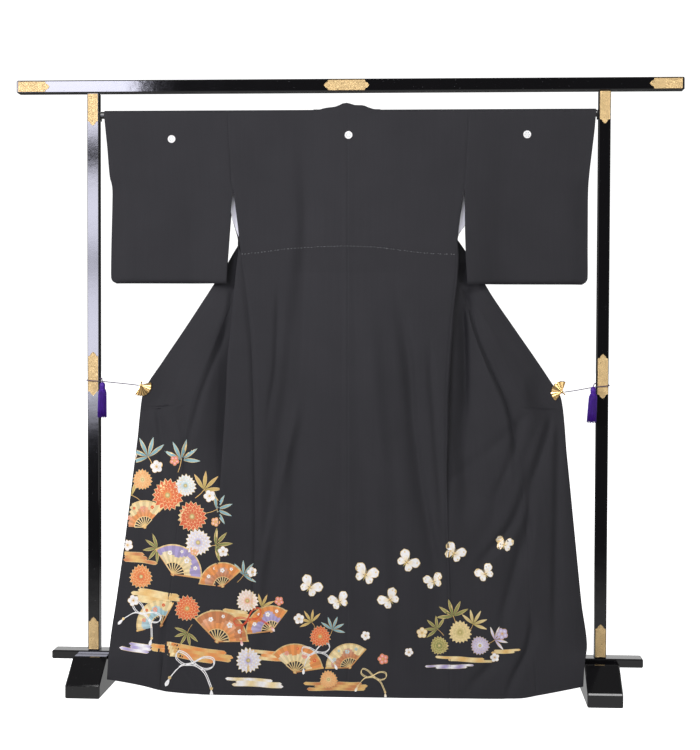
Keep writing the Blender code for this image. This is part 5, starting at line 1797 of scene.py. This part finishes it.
def stitches(name, tree, points):
    """Rounded stitches at places on the back, each with its direction and length."""
    bm = bmesh.new()
    radius = STITCH_RADIUS
    for (x, z), (dx, dz), length in points:
        ends = []
        for share in (-0.5, 0.5):
            place, _ = on_cloth(tree, x + dx * length * share, z + dz * length * share)
            ends.append(place + Vector((0.0, -radius * 0.55, 0.0)))
        axis = (ends[1] - ends[0]).normalized()
        across = axis.cross(Vector((0.0, 1.0, 0.0))).normalized()
        over = across.cross(axis)
        rings = []
        for share, swell in ((-0.06, 0.45), (0.10, 0.92), (0.5, 1.0), (0.90, 0.92), (1.06, 0.45)):
            at = ends[0].lerp(ends[1], share)
            ring = []
            for k in range(6):
                u, v = polar(1.0, math.tau * k / 6)
                ring.append(at + (across * u + over * v) * radius * swell)
            rings.append(ring)
        closed_tube(bm, rings)
    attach(finished(name, bm, white_thread()), "root")


class KIMONO_OT_baste(bpy.types.Operator):
    """Sews the white basting line across the back"""

    bl_idname = "kimono.baste"
    bl_label = "Baste the Back"

    def execute(self, context):
        tree = outer_cloth()
        points = []
        x = float(BASTING[0, 0])
        k = 0
        while x < BASTING[-1, 0]:
            z = table(BASTING, 1, x)
            slope = (table(BASTING, 1, x + 0.002) - table(BASTING, 1, x - 0.002)) / 0.004
            size = math.hypot(1.0, slope)
            length = STITCH + 0.0011 * math.sin(k * 2.7) + 0.0006 * math.sin(k * 1.3)
            points.append(((x, z + 0.0004 * math.sin(k * 1.9)), (1 / size, slope / size), length))
            x += length + STITCH_GAP + 0.0024 * math.sin(k * 3.1 + 1.0)
            k += 1
        stitches("basting_stitches", tree, points)
        return {"FINISHED"}


class KIMONO_OT_mark_crests(bpy.types.Operator):
    """Lays three plain white roundels on the back and the sleeves"""

    bl_idname = "kimono.mark_crests"
    bl_label = "Mark the Roundels"

    def execute(self, context):
        shapes = []
        for x, z in CRESTS:
            ground = sector(0.004, 1.0, 0.0, 360.0, WHITE, WHITE, 0.0, 2, 6, 28)
            dots = [disc(polar(0.56, a), 0.09, TEAL) for a in np.arange(6) * math.tau / 6]
            shapes += moved([ground], x, z, 0.0, CREST_RADIUS) + moved(dots, x, z, 0.0, CREST_RADIUS, 3)
        laid_on_cloth("crest_roundels", shapes, outer_cloth(), dyed_silk())
        return {"FINISHED"}


class KIMONO_OT_dye_hem_picture(bpy.types.Operator):
    """Lays the hem picture: gold mist, fans, flowers, leaves, cords and butterflies"""

    bl_idname = "kimono.dye_hem_picture"
    bl_label = "Dye the Hem Picture"

    def execute(self, context):
        tree = outer_cloth()
        for name, motifs in HEM_PICTURE:
            shapes = []
            for motif, places, lift in motifs:
                for x, z, turn, size, *looks in places:
                    shapes += moved(motif(*looks), x, z, turn, size, lift)
            laid_on_cloth(name, shapes, tree, dyed_silk())
        return {"FINISHED"}


def cord_route(side):
    """The cord's points, as in the part's source."""
    px, pz = CLIP_PIVOT[side]
    ring_x = px + side * (PIN_RADIUS + CORD_RADIUS + 0.0004)
    post_z = {-1: 0.8595, 1: 0.8530}[side]
    near_z = {-1: 0.8570, 1: 0.8485}[side]
    around = POST_SIDE / 2 + GAP + CORD_RADIUS + 0.0004
    face = POST_SIDE / 2 + GAP + PLATE_THICK + CORD_RADIUS + 0.0004
    inner = side * (POST_CENTRE - around)
    outer = side * (POST_CENTRE + around)
    hang = TASSEL_X[side]
    return [
        (ring_x, -0.0052, pz),
        (ring_x + side * 0.030, -0.0085, pz + (near_z - pz) * 0.33),
        (inner - side * 0.006, -face + 0.0006, near_z),
        (side * POST_CENTRE, -face, (near_z + post_z) / 2),
        (outer - side * 0.001, -face + 0.0014, post_z),
        (outer, 0.0, post_z + 0.001),
        (outer - side * 0.001, face - 0.0014, post_z + 0.0020),
        (side * POST_CENTRE, face, post_z + 0.0030),
        (inner + side * 0.001, face - 0.0014, post_z + 0.0042),
        (inner, 0.0, post_z + 0.0052),
        (inner - side * 0.0006, -face + 0.0006, post_z + 0.0060),
        (hang + side * 0.0035, -face - 0.0060, post_z + 0.0045),
        (hang, TASSEL_Y, TASSEL_TOP[side] + 0.0045),
        (hang, TASSEL_Y, TASSEL_TOP[side] + 0.0006),
        (hang, TASSEL_Y, TASSEL_TOP[side] - 0.0420),
    ]


class KIMONO_OT_tie_cords(bpy.types.Operator):
    """Ties each clip's thin cord round its post"""

    bl_idname = "kimono.tie_cords"
    bl_label = "Tie the Cords"

    def execute(self, context):
        look = context.scene.kimono_stand
        paint = twisted_silk("thin_twisted_cord", tuple(look.cord_colour), (0.03, 0.02, 0.05), 2600.0)
        for side, word in SIDES:
            path = eased_path(cord_route(side), 6)
            curve = bpy.data.curves.new(f"cord_thread_{word}", "CURVE")
            curve.dimensions = "3D"
            curve.bevel_depth = CORD_RADIUS
            curve.bevel_resolution = 3
            curve.use_fill_caps = True
            spline = curve.splines.new("POLY")
            spline.points.add(len(path) - 1)
            for place, point in zip(spline.points, path):
                place.co = (*point, 1.0)
            curve.materials.append(paint)
            made = placed(f"cord_thread_{word}", curve)
            tied_to_frame(made, [f"cord_{word}"])
            length = sum((b - a).length for a, b in zip(path[:-1], path[1:]))
        return {"FINISHED"}


def edited():
    """Opens the active object for editing, with all of it selected."""
    bpy.ops.object.mode_set(mode="EDIT")
    bpy.ops.mesh.select_all(action="SELECT")


def turned(name, profile, sides, centre, paint):
    """A turned form: a circle is added, shaped by extrude and resize ring by ring, and capped."""
    deselected()
    radius, drop = profile[0]
    place = (centre[0], centre[1], centre[2] - drop)
    bpy.ops.mesh.primitive_circle_add(vertices=sides, radius=radius, fill_type="NGON", location=place)
    made = bpy.context.object
    made.name = name
    edited()
    for next_radius, next_drop in profile[1:]:
        bpy.ops.mesh.extrude_region_move(TRANSFORM_OT_translate={"value": (0.0, 0.0, drop - next_drop)})
        share = next_radius / radius
        middle_at = (centre[0], centre[1], centre[2] - next_drop)
        bpy.ops.transform.resize(value=(share, share, 1.0), center_override=middle_at)
        radius, drop = next_radius, next_drop
    bpy.ops.mesh.select_all(action="SELECT")
    bpy.ops.mesh.normals_make_consistent(inside=False)
    bpy.ops.object.mode_set(mode="OBJECT")
    bpy.ops.object.transform_apply()
    made.data.name = name
    made.data.materials.append(paint)
    bpy.ops.object.shade_smooth_by_angle(angle=math.radians(40))
    return made


def merged(pieces, name):
    """Joins pieces into one object."""
    deselected()
    for piece in pieces:
        piece.select_set(True)
    bpy.context.view_layer.objects.active = pieces[0]
    bpy.ops.object.join()
    made = bpy.context.object
    made.name = name
    made.data.name = name
    return made


def threads(name, centre, paint, lean):
    """The tassel's skirt: rounds of slim threads that fall from the bound neck, a little uneven at the foot."""
    bm = bmesh.new()
    for ring, count, spread in ((0.0038, 12, 0.35), (0.0066, 22, 0.55), (0.0092, 32, 0.75), (0.0108, 40, 1.0)):
        for k in range(count):
            a = math.tau * (k + 0.37 * ring * 1000) / count
            out = Vector((math.cos(a), math.sin(a), 0.0))
            side = Vector((-math.sin(a), math.cos(a), 0.0))
            fall = 0.0760 + 0.0030 * math.sin(k * 2.3 + ring * 900) - 0.0012 * spread
            rings = []
            for share in (0.0, 0.12, 0.4, 0.7, 1.0):
                swell = ring * (0.78 + 0.22 * ease(0.0, 0.12, share)) + 0.0014 * share * spread
                sway = 0.0006 * math.sin(5.0 * share + k * 1.7)
                at = centre + out * swell + side * sway + Vector((lean * share, 0.0, -0.0170 - fall * share))
                half = THREAD_HALF
                corners = [(half, 0.0), (0.0, half), (-half, 0.0), (0.0, -half)]
                rings.append([at + out * u + side * v for u, v in corners])
            closed_tube(bm, rings)
    return finished(name, bm, paint)


class KIMONO_OT_hang_tassels(bpy.types.Operator):
    """Hangs a silk tassel from each cord: head, bound neck, ring and threads"""

    bl_idname = "kimono.hang_tassels"
    bl_label = "Hang the Tassels"

    def execute(self, context):
        look = context.scene.kimono_stand
        paint = twisted_silk("purple_tassel_silk", tuple(look.tassel_colour), (0.028, 0.001, 0.130), 1500.0)
        for side, word in SIDES:
            centre = Vector((TASSEL_X[side], TASSEL_Y, TASSEL_TOP[side]))
            head = turned(f"tassel_head_{word}", TASSEL_HEAD, 28, centre, paint)
            pieces = [head, threads(f"tassel_threads_{word}", centre, paint, TASSEL_LEAN[side])]
            for k in range(3):
                deselected()
                at = (centre.x, centre.y, centre.z - 0.0120 - 0.0012 * k)
                bpy.ops.mesh.primitive_torus_add(
                    location=at, major_radius=0.0069, minor_radius=0.00068, major_segments=28, minor_segments=8
                )
                bpy.ops.object.transform_apply()
                bpy.ops.object.shade_smooth()
                bpy.context.object.data.materials.append(paint)
                pieces.append(bpy.context.object)
            made = merged(pieces, f"tassel_silk_{word}")
            tied_to_frame(made, [f"tassel_{word}"])
        return {"FINISHED"}


def aimed(made, pivot, turn):
    """Turns a finished piece's own mesh about a pivot."""
    made.data.transform(Matrix.Translation(pivot) @ turn @ Matrix.Translation(-pivot))
    made.data.update()
    return made


def fan_leaf(name, pivot, start, stop, paint):
    """A leaf of a fan clip: one tapered, ridged blade with a pointed end, copied round the pin."""
    deselected()
    length = CLIP_REACH - 0.0040
    half = CLIP_REACH * math.tan(math.radians(abs(stop - start)) / CLIP_BLADES / 2) * 1.04
    place = pivot + Vector((0.0, 0.0, 0.0020 + length / 2))
    bpy.ops.mesh.primitive_cone_add(vertices=4, radius1=half * 0.14, radius2=half, depth=length, location=place)
    blade = bpy.context.object
    bpy.ops.object.transform_apply()
    edited()
    bpy.ops.transform.resize(value=(1.0, 0.0017 / half, 1.0), center_override=pivot)
    bpy.ops.mesh.select_all(action="DESELECT")
    bpy.ops.object.mode_set(mode="OBJECT")
    for face in blade.data.polygons:
        face.select = face.center.z > place.z + length * 0.49
    bpy.ops.object.mode_set(mode="EDIT")
    bpy.ops.mesh.extrude_region_move(TRANSFORM_OT_translate={"value": (0.0, 0.0, 0.0020)})
    bpy.ops.transform.resize(value=(0.30, 0.55, 1.0))
    bpy.ops.object.mode_set(mode="OBJECT")
    blade.data.materials.append(paint)
    blades = []
    for k in range(CLIP_BLADES):
        angle = start + (stop - start) * (k + 0.5) / CLIP_BLADES
        copy = blade.copy()
        copy.data = blade.data.copy()
        bpy.context.scene.collection.objects.link(copy)
        blades.append(aimed(copy, pivot, Matrix.Rotation(math.radians(90.0 - angle), 4, "Y")))
    bpy.data.objects.remove(blade)
    return merged(blades, name)


class KIMONO_OT_fit_clips(bpy.types.Operator):
    """Fits a clip with two folded gold fans, a pin and a thumb lever on each side seam"""

    bl_idname = "kimono.fit_clips"
    bl_label = "Fit the Clips"

    def execute(self, context):
        paint = polished_gold()
        for side, word in SIDES:
            px, pz = CLIP_PIVOT[side]
            start, stop = CLIP_SWEEP[side]
            lever_x, lever_z = CLIP_LEVER[side]
            reach = math.hypot(lever_x, lever_z)
            lever = [(0.0012, 0.0), (0.0015, reach * 0.5), (0.0021, reach * 0.78), (0.0026, reach * 0.93)]
            lever += [(0.0024, reach), (0.0010, reach + 0.0010)]
            front = Vector((px, -0.0040, pz))
            rear = Vector((px, 0.0040, pz))
            head = Vector((px, -0.0078, pz))
            pieces = [
                fan_leaf(f"fan_front_{word}", front, start, stop, paint),
                fan_leaf(f"fan_rear_{word}", rear, start - 6.0, stop - 6.0, paint),
                aimed(turned(f"fan_pin_{word}", FAN_PIN, 20, head, paint), head, Matrix.Rotation(math.pi / 2, 4, "X")),
                aimed(
                    turned(f"fan_lever_{word}", lever, 12, front, paint),
                    front,
                    Matrix.Rotation(math.atan2(-lever_x, -lever_z), 4, "Y"),
                ),
            ]
            made = merged(pieces, f"fan_clip_{word}")
            tied_to_frame(made, [f"clip_{word}"])
        return {"FINISHED"}


def area_light(name, place, aim, size, power, colour=(1.0, 1.0, 1.0)):
    """A soft light at a place, turned to what it lights."""
    light = bpy.data.lights.new(name, "AREA")
    light.shape = "RECTANGLE"
    light.size = size[0]
    light.size_y = size[1]
    light.energy = power
    light.color = colour
    made = placed(name, light)
    made.location = place
    made.rotation_euler = (Vector(aim) - Vector(place)).to_track_quat("-Z", "Y").to_euler()
    return made


def linked(tree, kind, links):
    """A node of a light's or the world's tree whose inputs take the outputs given by name or number."""
    made = tree.nodes.new(kind)
    for key, output in links.items():
        tree.links.new(output, made.inputs[key])
    return made


def uneven(light):
    """Gives the key light its uneven cloth: a shaded patch and a soft foot, from bottom to top."""
    light.use_nodes = True
    tree = light.node_tree
    place = tree.nodes.new("ShaderNodeNewGeometry").outputs["Parametric"]
    parts = linked(tree, "ShaderNodeSeparateXYZ", {0: place})
    ramp = linked(tree, "ShaderNodeValToRGB", {"Fac": parts.outputs["Y"]})
    steps = ramp.color_ramp.elements
    while len(steps) < len(KEY_CLOTH):
        steps.new(0.5)
    for step, (place_up, share) in zip(steps, KEY_CLOTH):
        step.position = place_up
        step.color = (share, share, share, 1.0)
    tree.links.new(ramp.outputs["Color"], tree.nodes["Emission"].inputs["Strength"])


def lay_floor(context):
    """Lays the pale floor just under the feet and the hem."""
    deselected()
    bpy.ops.mesh.primitive_plane_add(size=60.0, location=(0.0, 0.0, -0.0002))
    floor = context.object
    floor.name = "floor"
    bpy.ops.object.transform_apply()
    floor.data.materials.append(floor_paint())
    floor.visible_diffuse = False
    floor.visible_glossy = False


def light_room(scene, sky):
    """The room: white floor near the stand, bright sides, dark where the gloss of posts and beam looks."""
    world = bpy.data.worlds.new("room")
    scene.world = world
    world.use_nodes = True
    tree = world.node_tree
    room = tree.nodes["Background"]
    room.inputs["Color"].default_value = (1.0, 1.0, 1.0, 1.0)
    facing = tree.nodes.new("ShaderNodeTexCoord").outputs["Generated"]
    parts = linked(tree, "ShaderNodeSeparateXYZ", {0: facing})
    _, along, up = (Flow(tree, parts.outputs[k]) for k in range(3))
    floor_part = (-0.150 - up).between(0.0, 0.03)
    side_part = (0.86 - along.size()).between(0.0, 0.10) * (1.0 - floor_part)
    ceiling = up.between(0.25, 0.50)
    far_wall = along.between(0.90, 0.94) * up.between(0.165, 0.185)
    level = 0.03 + floor_part * 0.35 + far_wall * 0.8 + side_part * (1.0 - ceiling * 0.9) * sky
    tree.links.new(level.socket, room.inputs["Strength"])
    seen = tree.nodes.new("ShaderNodeBackground")
    seen.inputs["Color"].default_value = (1.0, 1.0, 1.0, 1.0)
    seen.inputs["Strength"].default_value = 1.15
    ray = tree.nodes.new("ShaderNodeLightPath").outputs["Is Camera Ray"]
    mix = linked(tree, "ShaderNodeMixShader", {0: ray, 1: room.outputs[0], 2: seen.outputs[0]})
    tree.links.new(mix.outputs[0], tree.nodes["World Output"].inputs["Surface"])


def stand_camera(scene, look):
    """Sets the photograph's camera at its place, turned by its yaw, pitch and roll."""
    camera = bpy.data.cameras.new("photograph_camera")
    camera.lens = look.lens
    camera.sensor_width = 36.0
    camera.clip_end = 100.0
    yaw, pitch, roll = (math.radians(a) for a in look.camera_aim)
    ahead = Vector((-math.sin(yaw) * math.cos(pitch), math.cos(yaw) * math.cos(pitch), math.sin(pitch)))
    level = Vector((math.cos(yaw), math.sin(yaw), 0.0))
    plumb = level.cross(ahead)
    right = level * math.cos(roll) + plumb * math.sin(roll)
    up = plumb * math.cos(roll) - level * math.sin(roll)
    made = placed("photograph_camera", camera)
    axes = Matrix((right, up, -ahead)).transposed()
    made.matrix_world = Matrix.Translation(Vector(look.camera_place)) @ axes.to_4x4()
    scene.camera = made


class KIMONO_OT_set_stage(bpy.types.Operator):
    """Lays the pale floor and sets the lights, the room light and the camera"""

    bl_idname = "kimono.set_stage"
    bl_label = "Set the Stage"

    def execute(self, context):
        scene = context.scene
        look = scene.kimono_stage
        lay_floor(context)
        key_place = (-1.945, -4.30, 1.53)
        key = area_light("key_light", key_place, (-1.945, 0.0, 1.53), (1.05, 2.20), look.key_power, (0.84, 0.84, 1.0))
        uneven(key.data)
        area_light("side_light", (-3.7, -2.9, 2.9), (0.0, 0.0, 0.85), (1.3, 1.3), look.side_power)
        area_light("fill_light", (2.9, -3.5, 1.4), (0.1, 0.0, 0.9), (1.0, 1.8), look.fill_power)
        area_light("top_light", (0.0, -3.2, 3.9), (0.0, 0.0, 0.9), (3.4, 1.4), look.top_power)
        light_room(scene, look.sky)
        scene.view_settings.view_transform = "Standard"
        stand_camera(scene, look)
        return {"FINISHED"}


class KIMONO_PT_panel(bpy.types.Panel):
    """Lists the garment's settings and the steps that build it"""

    bl_idname = "KIMONO_PT_panel"
    bl_label = "Kurotomesode"
    bl_space_type = "VIEW_3D"
    bl_region_type = "UI"
    bl_category = "Kurotomesode"

    def draw(self, context):
        layout = self.layout
        for group in (context.scene.kimono_cloth, context.scene.kimono_stand, context.scene.kimono_stage):
            column = layout.column()
            for name in group.__annotations__:
                column.prop(group, name)
        for step in STEPS:
            layout.operator(step.bl_idname)


STEPS = (
    KIMONO_OT_lacquer_stand,
    KIMONO_OT_gild_plates,
    KIMONO_OT_hang_body,
    KIMONO_OT_hang_overlaps,
    KIMONO_OT_hang_sleeves,
    KIMONO_OT_fold_collar,
    KIMONO_OT_show_lining,
    KIMONO_OT_baste,
    KIMONO_OT_mark_crests,
    KIMONO_OT_dye_hem_picture,
    KIMONO_OT_fit_clips,
    KIMONO_OT_hang_tassels,
    KIMONO_OT_tie_cords,
    KIMONO_OT_set_stage,
)
GROUPS = {"kimono_cloth": ClothSettings, "kimono_stand": StandSettings, "kimono_stage": StageSettings}


def register():
    for name, group in GROUPS.items():
        bpy.utils.register_class(group)
        setattr(bpy.types.Scene, name, PointerProperty(type=group))
    for step in STEPS:
        bpy.utils.register_class(step)
    bpy.utils.register_class(KIMONO_PT_panel)


def unregister():
    bpy.utils.unregister_class(KIMONO_PT_panel)
    for step in reversed(STEPS):
        bpy.utils.unregister_class(step)
    for name, group in GROUPS.items():
        delattr(bpy.types.Scene, name)
        bpy.utils.unregister_class(group)


def main():
    """Builds every piece in order."""
    register()
    for step in STEPS:
        group, name = step.bl_idname.split(".")
        getattr(getattr(bpy.ops, group), name)()


if __name__ == "__main__":
    main()
